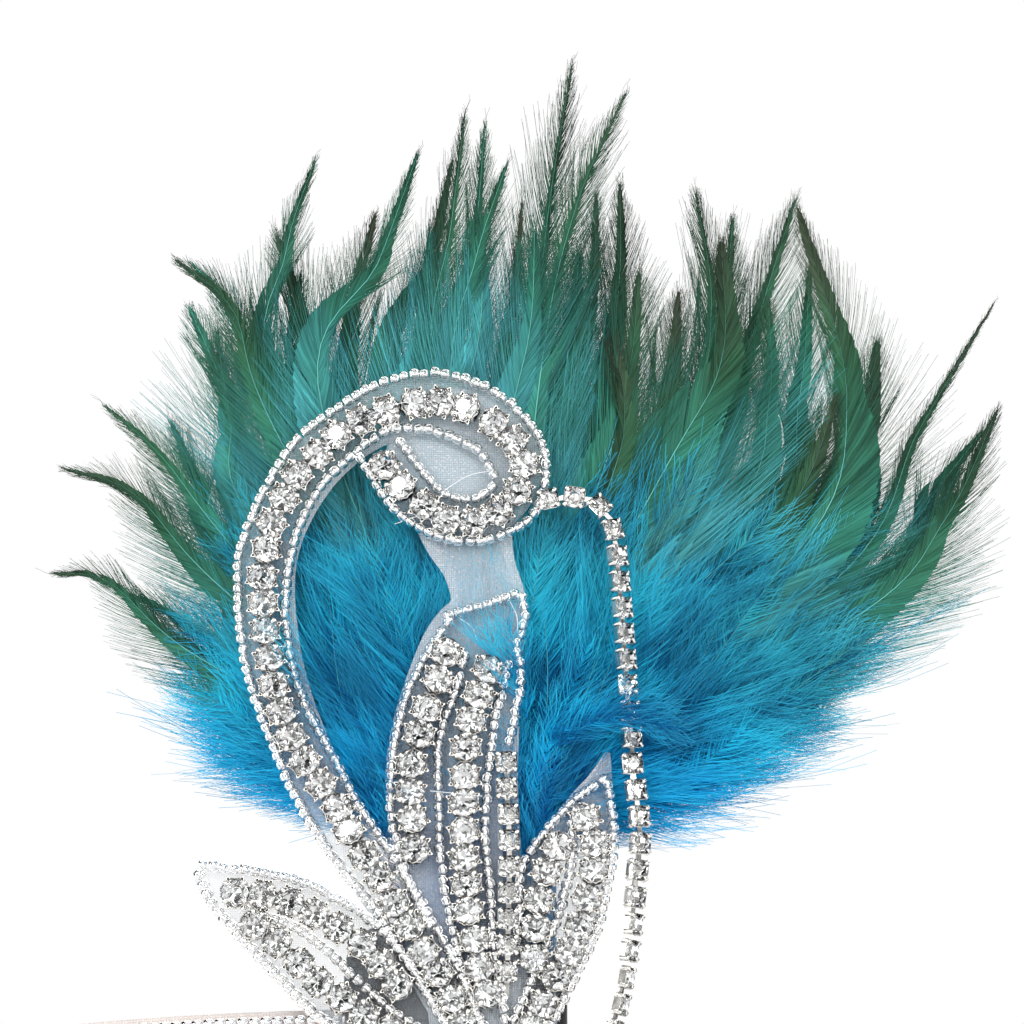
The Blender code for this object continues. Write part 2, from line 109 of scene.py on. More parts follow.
# Square lights that look at the ornament: name, place, size and power
LIGHT_AIM = (0.01, -0.08, 0.08)
LIGHTS = (
    ("key", (-0.75, -1.3, 0.95), 0.5, 11.0),
    ("fill", (1.1, -1.1, 0.25), 0.5, 4.0),
    ("back", (0.2, 1.2, 0.8), 0.7, 5.0),
    ("glint_left", (-0.35, -1.2, -0.25), 0.08, 1.0),
    ("glint_right", (0.45, -1.3, 0.5), 0.08, 1.0),
)


def table(kind, *rows):
    """Rows of plain numbers, with names for their columns."""
    return tuple(kind(*row) for row in rows)


# Strips of the net: lift, how much the threads cover below and above the neck, and the sections as
# (x, height, width)
Strip = namedtuple("Strip", "lift low_cover high_cover sections")
NET_STRIPS = {
    "crook": Strip(7.05, 0.2, 0.2, (
        (5.0, 5.5, 8.5), (-1.0, 15.0, 8.5), (-7.5, 26.5, 8.5), (-18.0, 42.5, 8.8), (-26.0, 58.5, 9.0),
        (-29.9, 73.0, 9.4), (-29.8, 87.0, 9.2), (-23.8, 99.2, 8.8), (-14.5, 107.6, 9.0),
        (-4.0, 110.6, 9.4), (4.6, 109.0, 8.4), (10.2, 104.4, 6.6), (12.4, 98.6, 4.6),
    )),
    "centre_leaf": Strip(7.2, 0.18, 0.2, (
        (0.8, 93.6, 16.0), (2.2, 88.8, 14.2), (3.9, 83.6, 11.4), (5.1, 77.5, 12.6), (2.2, 68.5, 17.4),
        (-0.6, 51.5, 21.0), (0.8, 34.5, 19.5), (3.0, 19.5, 16.5), (3.6, 5.0, 14.0), (3.6, -6.0, 8.0),
    )),
    "right_leaf": Strip(6.9, 0.2, 0.2, (
        (24.2, 54.0, 0.8), (23.0, 49.6, 4.0), (20.8, 43.8, 8.6), (18.4, 36.0, 13.2), (16.0, 27.5, 12.6),
        (13.6, 18.5, 10.5), (9.0, 6.5, 10.0),
    )),
    "left_leaf": Strip(6.75, 0.1, 0.1, (
        (-41.6, 34.8, 1.0), (-38.2, 32.4, 6.0), (-31.0, 29.2, 11.6), (-24.2, 24.8, 16.0),
        (-16.0, 18.5, 17.2), (-5.5, 11.0, 13.0), (1.5, 6.5, 8.0),
    )),
}
NECK_FOOT = 72 * MM
NECK_TOP = 80 * MM
CUT_EDGE_COVER = 0.2

# The net inside the crook's curl
Disc = namedtuple("Disc", "x z radius lift cover")
CURL = Disc(1.2, 101.0, 12.6, 6.9, 0.36)

# Lines of stones, chains and beads, as (x, height) points
CLAW_ROWS = {
    "crook_stones": (
        (3.6, 1.5), (0.8, 11.1), (-5.3, 22.7), (-13.3, 35.3), (-20.3, 46.8), (-27.2, 58.2),
        (-30.2, 72.1), (-30.7, 86.9), (-25.1, 99.1), (-15.7, 107.5), (-3.8, 110.9), (6.1, 107.3),
        (10.6, 101.6), (9.4, 95.4), (4.6, 91.6), (-1.2, 91.4), (-6.4, 94.8), (-11.6, 100.2),
    ),
    "centre_leaf_stones_left": ((-1.6, 69.9), (-5.3, 58.4), (-7.2, 48.4), (-6.4, 38.1)),
    "centre_leaf_stones_middle": (
        (5.1, 67.2), (2.4, 59.2), (1.4, 51.7), (1.4, 38.4), (2.8, 24.0), (4.8, 15.0),
    ),
    "right_leaf_stones_outer": (
        (20.6, 43.2), (22.3, 37.3), (21.1, 31.2), (18.4, 22.7), (14.2, 13.4), (9.8, 5.5),
    ),
    "right_leaf_stones_inner": ((16.2, 38.6), (14.0, 33.0), (13.0, 28.0), (12.6, 20.5)),
    "left_leaf_stones_upper": ((-35.0, 30.8), (-28.6, 30.3), (-22.8, 28.0), (-15.0, 22.9), (-9.0, 16.4)),
    "left_leaf_stones_lower": ((-31.7, 25.8), (-27.4, 22.4), (-23.4, 18.2), (-15.0, 11.8), (-6.5, 7.0)),
}
SEWN_CHAIN = ((8.1, 52.2), (8.5, 36.0), (8.2, 18.6))
CROOK_BEADS = {
    "outer_edge": (
        (3.0, 2.0), (-4.0, 14.5), (-13.0, 29.0), (-19.2, 36.6), (-25.0, 46.0), (-29.6, 56.1),
        (-33.6, 67.4), (-34.9, 78.7), (-34.4, 87.4), (-30.2, 97.7), (-25.3, 105.0), (-19.4, 109.8),
        (-11.7, 114.2), (-4.0, 115.6), (2.9, 114.2), (9.3, 110.2), (13.4, 104.9), (14.4, 98.8),
        (12.4, 92.6), (8.0, 89.3), (1.2, 88.2), (-5.0, 89.9), (-9.8, 93.4), (-13.0, 97.8),
        (-15.4, 101.6),
    ),
    "inner_edge": (
        (-10.4, 107.0), (-16.3, 102.6), (-21.9, 96.9), (-25.0, 91.0), (-26.6, 84.6), (-27.3, 77.7),
        (-27.0, 72.1), (-25.8, 66.6), (-23.7, 60.7), (-20.2, 54.2), (-15.4, 45.3), (-9.3, 36.0),
        (-4.8, 28.8), (0.6, 18.5), (4.4, 10.0),
    ),
    "eye_top": ((-9.4, 106.5), (-5.0, 106.5), (0.0, 105.0), (4.0, 102.6), (6.0, 99.0)),
    "eye_foot": ((-8.8, 104.4), (-6.2, 100.6), (-3.5, 97.2), (-0.6, 95.3), (3.2, 95.2), (5.8, 97.0)),
}
LEAF_BEADS = {
    "centre_top": ((-1.0, 76.1), (2.1, 77.1), (5.1, 77.9), (9.4, 79.6)),
    "centre_corner": ((10.6, 79.0), (11.0, 76.0), (10.5, 73.0)),
    "centre_left": (
        (-1.4, 74.8), (-3.8, 71.0), (-6.7, 65.8), (-8.6, 60.4), (-10.0, 53.0), (-10.4, 46.0),
        (-9.4, 39.6), (-7.4, 33.0), (-4.4, 26.0),
    ),
    "centre_between": (
        (1.4, 69.6), (0.2, 64.3), (-1.9, 58.6), (-2.8, 52.7), (-2.7, 46.0), (-2.4, 38.0), (-1.4, 30.0),
        (0.4, 22.0), (3.0, 12.0), (5.0, 4.0),
    ),
    "centre_right": (
        (8.4, 68.0), (7.0, 62.0), (5.8, 56.0), (5.0, 48.0), (4.8, 40.0), (5.5, 32.0), (5.9, 24.0),
        (7.2, 15.0), (8.6, 6.0),
    ),
    "centre_outer": ((9.6, 71.6), (10.4, 66.0), (9.6, 60.4), (8.6, 55.6)),
    "right_left_edge": (
        (23.4, 49.4), (19.7, 46.8), (16.0, 43.2), (12.9, 39.4), (10.6, 35.4), (10.2, 29.0), (9.8, 22.0),
    ),
    "right_right_edge": (
        (24.2, 48.6), (25.0, 44.0), (25.0, 38.4), (24.0, 32.0), (22.6, 26.0), (20.2, 20.4), (18.0, 16.0),
        (15.0, 10.0), (11.6, 4.0),
    ),
    "right_between": (
        (18.4, 42.2), (18.6, 37.4), (17.4, 31.4), (15.6, 25.6), (13.4, 20.4), (10.9, 14.4), (8.0, 8.0),
    ),
    "left_upper_edge": (
        (-40.2, 35.3), (-31.8, 34.4), (-23.7, 32.6), (-18.1, 29.8), (-13.0, 26.4), (-7.9, 20.6),
        (-4.4, 15.0), (0.0, 8.6),
    ),
    "left_lower_edge": (
        (-40.8, 33.9), (-38.8, 29.4), (-34.6, 24.4), (-29.9, 19.6), (-25.4, 14.8), (-19.4, 9.6),
        (-11.0, 5.4), (-2.0, 3.0),
    ),
    "left_between": (
        (-33.6, 28.3), (-26.2, 25.8), (-20.2, 21.6), (-15.5, 17.3), (-10.0, 12.4), (-3.6, 8.4),
        (2.4, 4.4),
    ),
}

# The hanging chain: x, height, lift and roll in degrees
DRAPE = (
    (14.8, 94.6, 0.0, 0), (18.9, 95.3, 0.0, 0), (22.6, 93.4, 0.2, -20), (24.7, 89.3, 0.4, -32),
    (25.7, 81.3, 0.6, -38), (26.7, 68.0, 0.8, -35), (27.8, 53.0, 1.0, -25), (28.9, 41.6, 0.8, -15),
    (28.4, 33.4, 0.2, -25), (27.2, 24.0, -0.8, -55), (25.6, 14.5, -2.0, -70), (22.9, 6.0, -3.6, -75),
    (18.8, 0.0, -4.9, -60), (14.6, -3.4, -4.9, -50),
)

# Loose threads, as (x, height, lift) points
LOOSE_THREADS = (
    ((-2.4, 96.0, 8.8), (2.0, 98.6, 9.4), (5.8, 99.6, 8.6)),
    ((-9.8, 91.0, 8.2), (-5.0, 91.8, 9.6), (0.6, 88.4, 8.2)),
    ((-4.6, 92.4, 8.4), (-3.2, 90.0, 8.8), (-1.6, 87.6, 8.0)),
    ((0.6, 75.6, 8.2), (2.6, 74.0, 8.6), (3.4, 72.0, 8.0)),
    ((8.6, 78.4, 8.4), (9.8, 75.4, 9.0), (9.6, 71.2, 8.2)),
    ((-4.0, 47.4, 9.6), (1.0, 46.8, 10.2), (4.2, 46.6, 9.4)),
    ((-14.0, 108.6, 9.8), (-8.0, 110.4, 10.4), (-3.0, 109.0, 9.6)),
)

# Hackles: three (x, height) points of the rachis after its root, the reach of its barbs, the tone of
# its tip, how far it lifts and leans out, and how much fringe it has
Hackle = namedtuple("Hackle", "middle bend tip reach tone lift lean fringe")
HACKLES = table(
    Hackle,
    ((-40.2, 68.9), (-55.4, 81.6), (-64.6, 83.1), 5.0, 0.75, 0.0, 0.5, 0.8),
    ((-36.2, 70.5), (-46.6, 77.1), (-53.8, 80.3), 5.0, 0.45, -2.0, -1.0, 0.8),
    ((-37.0, 80.3), (-51.4, 95.9), (-63.0, 100.3), 5.5, 0.8, 1.0, 1.0, 0.8),
    ((-33.8, 85.2), (-47.4, 102.4), (-56.5, 110.6), 5.5, 0.7, -1.0, -2.0, 0.9),
    ((-29.0, 106.5), (-35.8, 126.1), (-45.4, 134.8), 6.5, 0.75, 1.5, 0.5, 0.9),
    ((-29.4, 111.4), (-37.4, 127.8), (-42.6, 134.0), 6.0, 0.35, -2.0, -3.0, 0.8),
    ((-29.0, 111.4), (-27.4, 136.0), (-22.7, 151.5), 5.5, 0.6, -1.0, -4.0, 0.6),
    ((-21.8, 111.4), (-12.5, 134.3), (-6.1, 152.6), 5.5, 0.55, 1.5, 1.0, 0.45),
    ((-10.6, 111.4), (-4.2, 134.3), (-0.6, 151.5), 5.0, 0.85, -2.5, -4.0, 0.45),
    ((-4.2, 116.3), (-1.0, 139.2), (1.4, 159.2), 5.5, 0.7, 0.0, -1.0, 1.1),
    ((-1.0, 114.7), (2.9, 137.6), (4.6, 157.2), 6.0, 0.55, -2.0, -2.0, 1.0),
    ((-1.0, 111.4), (3.0, 134.3), (8.2, 150.7), 6.0, 0.5, 1.5, 1.5, 0.6),
    ((7.0, 111.4), (9.4, 129.4), (10.6, 144.1), 4.0, 0.9, 0.5, 0.0, 0.6),
    ((11.8, 116.3), (15.0, 144.1), (18.7, 167.3), 6.5, 0.75, -2.5, -4.5, 1.25),
    ((13.4, 114.7), (19.0, 142.5), (27.4, 162.5), 6.5, 0.8, 1.5, 0.5, 1.2),
    ((18.2, 111.4), (21.8, 129.4), (22.6, 145.8), 6.5, 0.8, -1.0, -2.0, 0.8),
    ((23.0, 111.4), (26.2, 131.0), (26.4, 147.4), 7.0, 0.7, -3.0, -4.0, 0.8),
    ((35.8, 104.9), (41.0, 126.1), (38.6, 145.8), 7.5, 0.75, -2.0, -4.0, 1.2),
    ((37.4, 103.2), (42.6, 122.9), (44.6, 141.7), 7.0, 0.6, -3.0, -5.0, 0.8),
    ((33.4, 100.0), (42.6, 118.0), (42.7, 137.6), 8.0, 0.8, 1.5, 2.0, 0.35),
    ((37.4, 95.1), (46.2, 118.0), (54.7, 144.8), 8.5, 0.7, -1.0, -2.5, 0.9),
    ((53.4, 85.2), (62.7, 111.4), (55.0, 143.3), 7.8, 0.9, 1.0, 0.0, 0.5),
    ((48.6, 88.5), (55.0, 111.4), (57.0, 134.0), 8.0, 0.6, -2.5, -3.0, 0.8),
    ((60.6, 82.0), (74.2, 106.5), (86.7, 127.8), 2.7, 0.85, 1.5, -3.0, 0.3),
    ((63.0, 75.4), (78.2, 91.8), (87.0, 110.1), 7.0, 0.75, 0.0, 1.0, 0.65),
    ((64.6, 78.7), (75.8, 95.1), (84.6, 106.5), 7.0, 0.5, -2.5, -2.0, 0.5),
    ((-25.0, 98.3), (-26.6, 118.0), (-25.0, 132.7), 7.0, 0.6, -3.0, -4.0, 0.8),
    ((-15.4, 100.0), (-17.0, 122.9), (-13.0, 142.5), 7.5, 0.85, -3.0, -3.0, 0.8),
    ((-9.0, 100.0), (-5.8, 121.2), (-4.2, 139.2), 8.0, 0.25, -1.0, -1.0, 0.8),
    ((-1.0, 98.3), (3.8, 122.9), (3.8, 142.5), 8.5, 0.32, 0.5, 1.0, 0.8),
    ((7.0, 98.3), (11.8, 122.9), (12.6, 139.2), 9.0, 0.42, 1.0, 2.0, 0.8),
    ((13.4, 98.3), (18.2, 119.6), (19.8, 136.0), 8.5, 0.35, -1.0, -1.0, 0.8),
    ((23.0, 98.3), (27.8, 116.3), (29.4, 132.7), 8.5, 0.75, 0.5, 1.0, 0.8),
    ((29.4, 95.1), (34.2, 113.0), (35.8, 129.4), 8.5, 0.95, -1.0, -2.0, 0.8),
    ((43.8, 91.8), (50.2, 111.4), (50.2, 127.8), 8.5, 0.62, 0.0, -1.0, 0.8),
    ((55.0, 85.2), (64.6, 103.2), (67.8, 121.2), 8.5, 0.8, -2.0, -3.0, 0.4),
    ((-33.0, 91.8), (-36.2, 108.1), (-38.6, 122.9), 7.0, 0.55, -2.5, -3.0, 0.8),
    ((-35.4, 85.2), (-41.0, 96.7), (-45.8, 108.1), 7.0, 0.55, -3.0, -3.0, 0.8),
    ((64.6, 77.1), (74.2, 88.5), (80.6, 100.0), 7.5, 0.35, -1.0, -1.0, 0.45),
    ((-22.0, 100.0), (-24.0, 121.0), (-29.0, 139.0), 8.5, 0.85, -3.5, -4.0, 0.8),
    ((-30.0, 96.0), (-37.0, 113.0), (-43.0, 127.0), 8.5, 0.4, -3.5, -4.0, 0.8),
    ((24.0, 96.0), (27.0, 110.0), (25.0, 122.0), 8.5, 0.9, 1.0, 1.0, 0.8),
    ((46.0, 84.0), (56.0, 98.0), (61.0, 112.0), 9.0, 0.85, 0.5, 0.5, 0.8),
)
HACKLE_ROOT = Point(4.0, 46.0)

# The line that the down reaches to, as (x, height) points
DOWN_EDGE = (
    (-18.0, 54.5), (-27.0, 54.0), (-34.5, 54.5), (-39.0, 57.0), (-41.5, 60.5), (-43.5, 65.0),
    (-44.0, 71.0), (-42.5, 78.0), (-37.0, 90.0), (-27.0, 100.0), (-12.0, 109.0), (6.0, 113.0),
    (24.0, 110.0), (42.0, 104.0), (57.0, 98.0), (68.0, 90.0), (72.0, 81.0), (70.5, 73.5), (65.5, 66.0),
    (57.0, 59.5), (47.0, 56.0), (38.0, 54.0), (30.0, 54.0),
)

# Layers of down: where they root, how near they come to the edge and at what lift, how many feathers stand
# between two shares of the edge, their reach and their tone and light, and whether they are the plain bed.
# The tone and light is painted light where above 0 and painted shade where below.
Layer = namedtuple("Layer", "root_x root_z root_lift near lift count start end reach tint under")
DOWN_LAYERS = table(
    Layer,
    (4.0, 46.0, 3.0, 0.86, -1.2, 28, 0.0, 1.0, 0.8, 0.0, True),
    (4.0, 44.0, 3.2, 0.98, 0.6, 40, 0.0, 1.0, 0.85, 0.0, False),
    (0.0, 46.0, 3.6, 1.0, 1.4, 24, 0.0, 0.26, 0.7, 0.32, False),
    (8.0, 45.0, 3.6, 0.97, 1.6, 20, 0.7, 1.0, 0.75, -0.1, False),
    (4.0, 42.0, 4.0, 0.88, 2.6, 34, 0.02, 0.98, 0.95, 0.0, False),
    (4.0, 38.0, 4.8, 0.76, 3.8, 26, 0.05, 0.94, 1.0, 0.0, False),
    (12.0, 44.0, 5.2, 0.66, 5.0, 12, 0.5, 0.86, 1.0, 0.1, False),
    (-2.0, 36.0, 5.2, 0.7, 4.6, 9, 0.08, 0.44, 1.0, -0.15, False),
)

# Locks that lie in front: over the hanging chain, at the top of the centre leaf, beside it, and low in the
# gaps on both sides of it. Each has its root, middle and tip as (x, height, lift), and its tone and light:
# painted light on the bright locks, painted shade on those low in the gaps.
FRONT_LOCKS = (
    ((13.0, 55.0, 6.5), (23.0, 59.5, 11.4), (34.0, 58.5, 10.5), 0.1),
    ((14.0, 54.0, 6.5), (24.0, 58.6, 11.6), (35.5, 57.2, 10.5), 0.0),
    ((12.0, 56.0, 6.5), (22.5, 60.4, 11.2), (32.0, 60.0, 10.5), 0.15),
    ((12.0, 58.0, 6.6), (9.0, 66.0, 8.6), (4.5, 73.5, 9.0), 0.35),
    ((12.5, 60.0, 6.6), (10.0, 68.0, 8.6), (8.0, 75.0, 9.0), 0.35),
    ((11.5, 44.0, 6.5), (14.5, 54.0, 7.4), (17.5, 64.0, 7.6), 0.6),
    ((12.0, 50.0, 6.5), (17.0, 60.0, 7.6), (21.0, 71.0, 7.4), 0.7),
    ((8.5, 22.0, 6.3), (11.0, 36.0, 6.6), (11.5, 52.0, 6.9), -0.3),
    ((10.0, 20.0, 6.3), (13.0, 34.0, 6.6), (15.0, 49.0, 6.9), -0.2),
    ((9.0, 26.0, 6.4), (12.5, 41.0, 6.8), (16.5, 54.0, 7.1), -0.1),
    ((8.0, 30.0, 6.5), (9.8, 44.0, 6.9), (9.4, 58.0, 7.2), -0.25),
    ((-6.0, 28.0, 6.2), (-10.5, 38.0, 6.4), (-14.0, 50.0, 6.6), -0.2),
    ((-5.0, 30.0, 6.2), (-8.5, 42.0, 6.4), (-11.0, 56.0, 6.6), -0.1),
)


def srgb(red, green, blue):
    """A colour given in 0 to 255 screen values, as the linear values that a shader takes."""
    share = np.array([red, green, blue]) / 255
    linear = np.where(share <= 0.04045, share / 12.92, ((share + 0.055) / 1.055) ** 2.4)
    return tuple(float(value) for value in linear)


def grey(value):
    """A colour whose three values are the same."""
    return (value, value, value)


def scaled(color, factor):
    """A colour made darker or lighter by a factor."""
    return tuple(value * factor for value in color)


# Shapes worked out as whole arrays

Part = namedtuple("Part", "points groups uv tone", defaults=(None, None))
Group = namedtuple("Group", "faces look smooth")


def unit(vectors):
    """Each vector at a length of 1."""
    return vectors / np.linalg.norm(vectors, axis=1)[:, None]


def stacked(*columns):
    """Coordinates whose shapes fit together, as one array of points."""
    return np.stack(np.broadcast_arrays(*columns), axis=-1)


def around(count):
    """Angles at even steps round a full turn."""
    return np.linspace(0, TURN, count, endpoint=False)


def circle(radius, angle):
    """Points of a circle at some angles."""
    return np.column_stack([radius * np.cos(angle), radius * np.sin(angle)])


def turn_about_z(angle):
    """The matrix that turns rows of points about Z."""
    cosine, sine = np.cos(angle), np.sin(angle)
    return np.array([[cosine, sine, 0], [-sine, cosine, 0], [0, 0, 1]])


def recede(x):
    """How far the wrapped ornament falls back at a distance x: a circle's sagitta, then a straight run."""
    reach = np.minimum(np.abs(x), WRAP_REACH)
    return reach ** 2 / (2 * WRAP_RADIUS) + (np.abs(x) - reach) * WRAP_REACH / WRAP_RADIUS


def wrap(points):
    """Flat (x, height, lift) to its place: back by the recede of x, and up by its share of that."""
    x, height, lift = np.moveaxis(points, -1, 0)
    back = recede(x)
    return stacked(x, back - LOOP_HALF_DEPTH - lift, height + back * np.tan(SIDE_RISE))


def loop_point(angle, inset, height):
    """A point of the loop: an ellipse's cosine and sine at the angle, drawn in by the inset."""
    x = (LOOP_HALF_LENGTH - inset) * np.cos(angle)
    return stacked(x, (LOOP_HALF_DEPTH - inset) * np.sin(angle), height)


def smooth_curve(knots, steps=16):
    """A Catmull-Rom curve: each span is the cubic through its two knots that leans on their neighbours."""
    knots = np.asarray(knots, float)
    padded = np.vstack([2 * knots[0] - knots[1], knots, 2 * knots[-1] - knots[-2]])
    before, start, end, after = padded[:-3, None], padded[1:-2, None], padded[2:-1, None], padded[3:, None]
    t = np.linspace(0, 1, steps, endpoint=False)[None, :, None]
    spans = 0.5 * (
        2 * start
        + (end - before) * t
        + (2 * before - 5 * start + 4 * end - after) * t ** 2
        + (3 * start - before - 3 * end + after) * t ** 3
    )
    return np.vstack([spans.reshape(-1, knots.shape[1]), knots[-1:]])


def lengths_along(curve, columns=3):
    """The distance from the curve's start to each of its points."""
    steps = np.linalg.norm(np.diff(curve[:, :columns], axis=0), axis=1)
    return np.concatenate([[0], np.cumsum(steps)])


def stations(curve, shares, columns=3):
    """Points and unit tangents of a curve at shares of its length, read between its own points."""
    reach = lengths_along(curve, columns)
    slopes = np.gradient(curve, axis=0)
    at = np.asarray(shares) * reach[-1]
    points = np.column_stack([np.interp(at, reach, column) for column in curve.T])
    ahead = np.column_stack([np.interp(at, reach, column) for column in slopes.T])[:, :3]
    return points, unit(ahead)


def grid_faces(rows, columns, closed=False, ring=False):
    """Quads of a grid of points. Closed joins its last column to the first, and ring its last row."""
    index = np.arange(rows * columns).reshape(rows, columns)
    if ring:
        index = np.vstack([index, index[:1]])
    if closed:
        index = np.hstack([index, index[:, :1]])
    corners = (index[:-1, :-1], index[1:, :-1], index[1:, 1:], index[:-1, 1:])
    return np.stack(corners, axis=-1).reshape(-1, 4)


def ribbons(middle, half):
    """Flat ribbons: each row of middle points is widened both ways by its half-width vectors."""
    count, length = middle.shape[:2]
    points = np.stack([middle - half, middle + half], axis=2).reshape(-1, 3)
    faces = np.arange(count)[:, None, None] * length * 2 + grid_faces(length, 2)
    return points, faces.reshape(-1, 4)


def tube(path, radius, sides):
    """A round rod, open at its ends: a ring of points square to the path at each of its points."""
    ahead = unit(np.gradient(path, axis=0))
    across = np.cross(ahead, (0.0, 0.0, 1.0))
    across /= np.linalg.norm(across, axis=1)[:, None] + 1e-12
    out = np.cross(across, ahead)
    angle = around(sides)[None, :, None]
    radius = np.broadcast_to(radius, (len(path),))[:, None, None]
    ring = across[:, None] * np.cos(angle) + out[:, None] * np.sin(angle)
    return (path[:, None] + ring * radius).reshape(-1, 3), grid_faces(len(path), sides, closed=True)


def turned(profile, sides, first=0.0):
    """A closed profile of (radius, height) points carried round the Z axis."""
    angle = first + around(sides)
    radius, height = np.asarray(profile, float).T[:, :, None]
    points = stacked(radius * np.cos(angle), radius * np.sin(angle), height)
    faces = grid_faces(len(profile), sides, closed=True, ring=True)
    return points.reshape(-1, 3), faces[:, (0, 3, 2, 1)]


def part(points, faces, look=0, smooth=True, uv=None, tone=None):
    """A piece of mesh with one kind of face."""
    return Part(points, [Group(faces, look, smooth)], uv, tone)


def wrapped(one):
    """The part with its flat points wrapped."""
    return one._replace(points=wrap(one.points))


def join_shapes(shapes):
    """Several small shapes, each (points, groups), as one."""
    points, groups, first = [], [], 0
    for shape_points, shape_groups in shapes:
        points.append(shape_points)
        groups += [Group(group.faces + first, group.look, group.smooth) for group in shape_groups]
        first += len(shape_points)
    return np.vstack(points), groups


def copies(shape, origins, axes):
    """A shape set at many places: its points times each place's three axes, plus its origin."""
    points, groups = shape
    placed = np.einsum("pk,nkd->npd", points, axes) + origins[:, None]
    shift = (np.arange(len(origins)) * len(points))[:, None, None]
    return Part(placed.reshape(-1, 3), [
        Group((group.faces[None] + shift).reshape(-1, group.faces.shape[1]), group.look, group.smooth)
        for group in groups
    ])


def row_axes(ahead, roll=0.0, tilt=0.0, turn=0.0):
    """Axes for copies along a flat row: along it, across it and out, turned by small angles about each."""
    ahead = unit(ahead)
    out = unit(np.array([0.0, 0.0, 1.0]) - ahead * ahead[:, 2:3])
    axes = [ahead, np.cross(out, ahead), out]
    for angle, first, second in ((roll, 1, 2), (tilt, 2, 0), (turn, 0, 1)):
        angle = np.broadcast_to(angle, (len(ahead),))[:, None]
        one, two = axes[first], axes[second]
        axes[first] = one * np.cos(angle) + two * np.sin(angle)
        axes[second] = two * np.cos(angle) - one * np.sin(angle)
    return np.stack(axes, axis=1)


def mesh_piece(name, parts, materials):
    """Put parts into one mesh object at the origin, with its UV map and tone where parts have them."""
    points = np.vstack([one.points for one in parts])
    firsts = np.cumsum([0] + [len(one.points) for one in parts])
    corners = np.concatenate([
        (group.faces + first).ravel() for first, one in zip(firsts, parts) for group in one.groups
    ])
    groups = [group for one in parts for group in one.groups]
    counts = [len(group.faces) for group in groups]
    sizes = np.repeat([group.faces.shape[1] for group in groups], counts)
    starts = np.cumsum(sizes) - sizes
    mesh = bpy.data.meshes.new(name)
    mesh.vertices.add(len(points))
    mesh.vertices.foreach_set("co", points.astype(np.float32).ravel())
    mesh.loops.add(len(corners))
    mesh.loops.foreach_set("vertex_index", corners.astype(np.int32))
    mesh.polygons.add(len(sizes))
    mesh.polygons.foreach_set("loop_start", starts.astype(np.int32))
    looks = np.repeat([group.look for group in groups], counts)
    mesh.polygons.foreach_set("material_index", looks.astype(np.int32))
    mesh.update(calc_edges=True)
    mesh.polygons.foreach_set("use_smooth", np.repeat([group.smooth for group in groups], counts))
    if any(one.uv is not None for one in parts):
        uv = np.vstack([np.zeros((len(one.points), 2)) if one.uv is None else one.uv for one in parts])
        layer = mesh.uv_layers.new(name="UVMap")
        layer.data.foreach_set("uv", uv[corners].astype(np.float32).ravel())
    if any(one.tone is not None for one in parts):
        tone = np.concatenate([np.zeros(len(one.points)) if one.tone is None else one.tone for one in parts])
        attribute = mesh.attributes.new("tone", "FLOAT", "POINT")
        attribute.data.foreach_set("value", tone.astype(np.float32))
    for material in materials:
        mesh.materials.append(material)
    obj = bpy.data.objects.new(name, mesh)
    bpy.context.scene.collection.objects.link(obj)
    return obj


def wear(name, parts, materials, slot, *nodes):
    """A piece that rides on the headband, takes its finish from the materials given and stands for these
    solids. The slot is not used.
    """
    obj = mesh_piece(name, parts, materials)
    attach(obj, "root")
    if nodes:
        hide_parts(*nodes)
    return obj


def solidify(obj, thickness):
    """Give an open sheet its thickness, half to each side."""
    modifier = obj.modifiers.new("thickness", "SOLIDIFY")
    modifier.thickness = thickness
    modifier.offset = 0.0


# Materials

# The length of one wave of Blender's wave texture at a scale of 1
WAVE_LENGTH = np.pi / 10
WHITE = grey(1.0)


class Nodes:
    """Short ways to add nodes to one tree."""

    def __init__(self, tree):
        self.tree = tree

    def put(self, socket, value):
        """Link another node's output to the socket, or set its value. A colour is three numbers."""
        if isinstance(value, bpy.types.NodeSocket):
            self.tree.links.new(value, socket)
        else:
            socket.default_value = (*value, 1.0) if socket.type == "RGBA" else value

    def node(self, kind, inputs=None, **settings):
        """Add a shader node with its settings and inputs."""
        made = self.tree.nodes.new("ShaderNode" + kind)
        for key, value in settings.items():
            setattr(made, key, value)
        for key, value in (inputs or {}).items():
            self.put(made.inputs[key], value)
        return made

    def ramp(self, share, *stops):
        """A colour ramp read at a share, with stops of (place, colour)."""
        made = self.node("ValToRGB", {"Fac": share})
        elements = made.color_ramp.elements
        while len(elements) < len(stops):
            elements.new(0.5)
        for element, (place, color) in zip(elements, stops):
            element.position = place
            element.color = (*color, 1.0)
        return made.outputs["Color"]

    def math(self, operation, *values):
        """A sum of values."""
        made = self.node("Math", operation=operation)
        for socket, value in zip(made.inputs, values):
            self.put(socket, value)
        return made.outputs[0]

    def add(self, one, two):
        return self.math("ADD", one, two)

    def times(self, one, two):
        return self.math("MULTIPLY", one, two)

    def mix(self, share, one, two, blend="MIX"):
        """Two colours mixed by a share."""
        made = self.node("Mix", data_type="RGBA", blend_type=blend)
        for place, value in (("Factor_Float", share), ("A_Color", one), ("B_Color", two)):
            self.put(next(socket for socket in made.inputs if socket.identifier == place), value)
        return next(socket for socket in made.outputs if socket.identifier == "Result_Color")


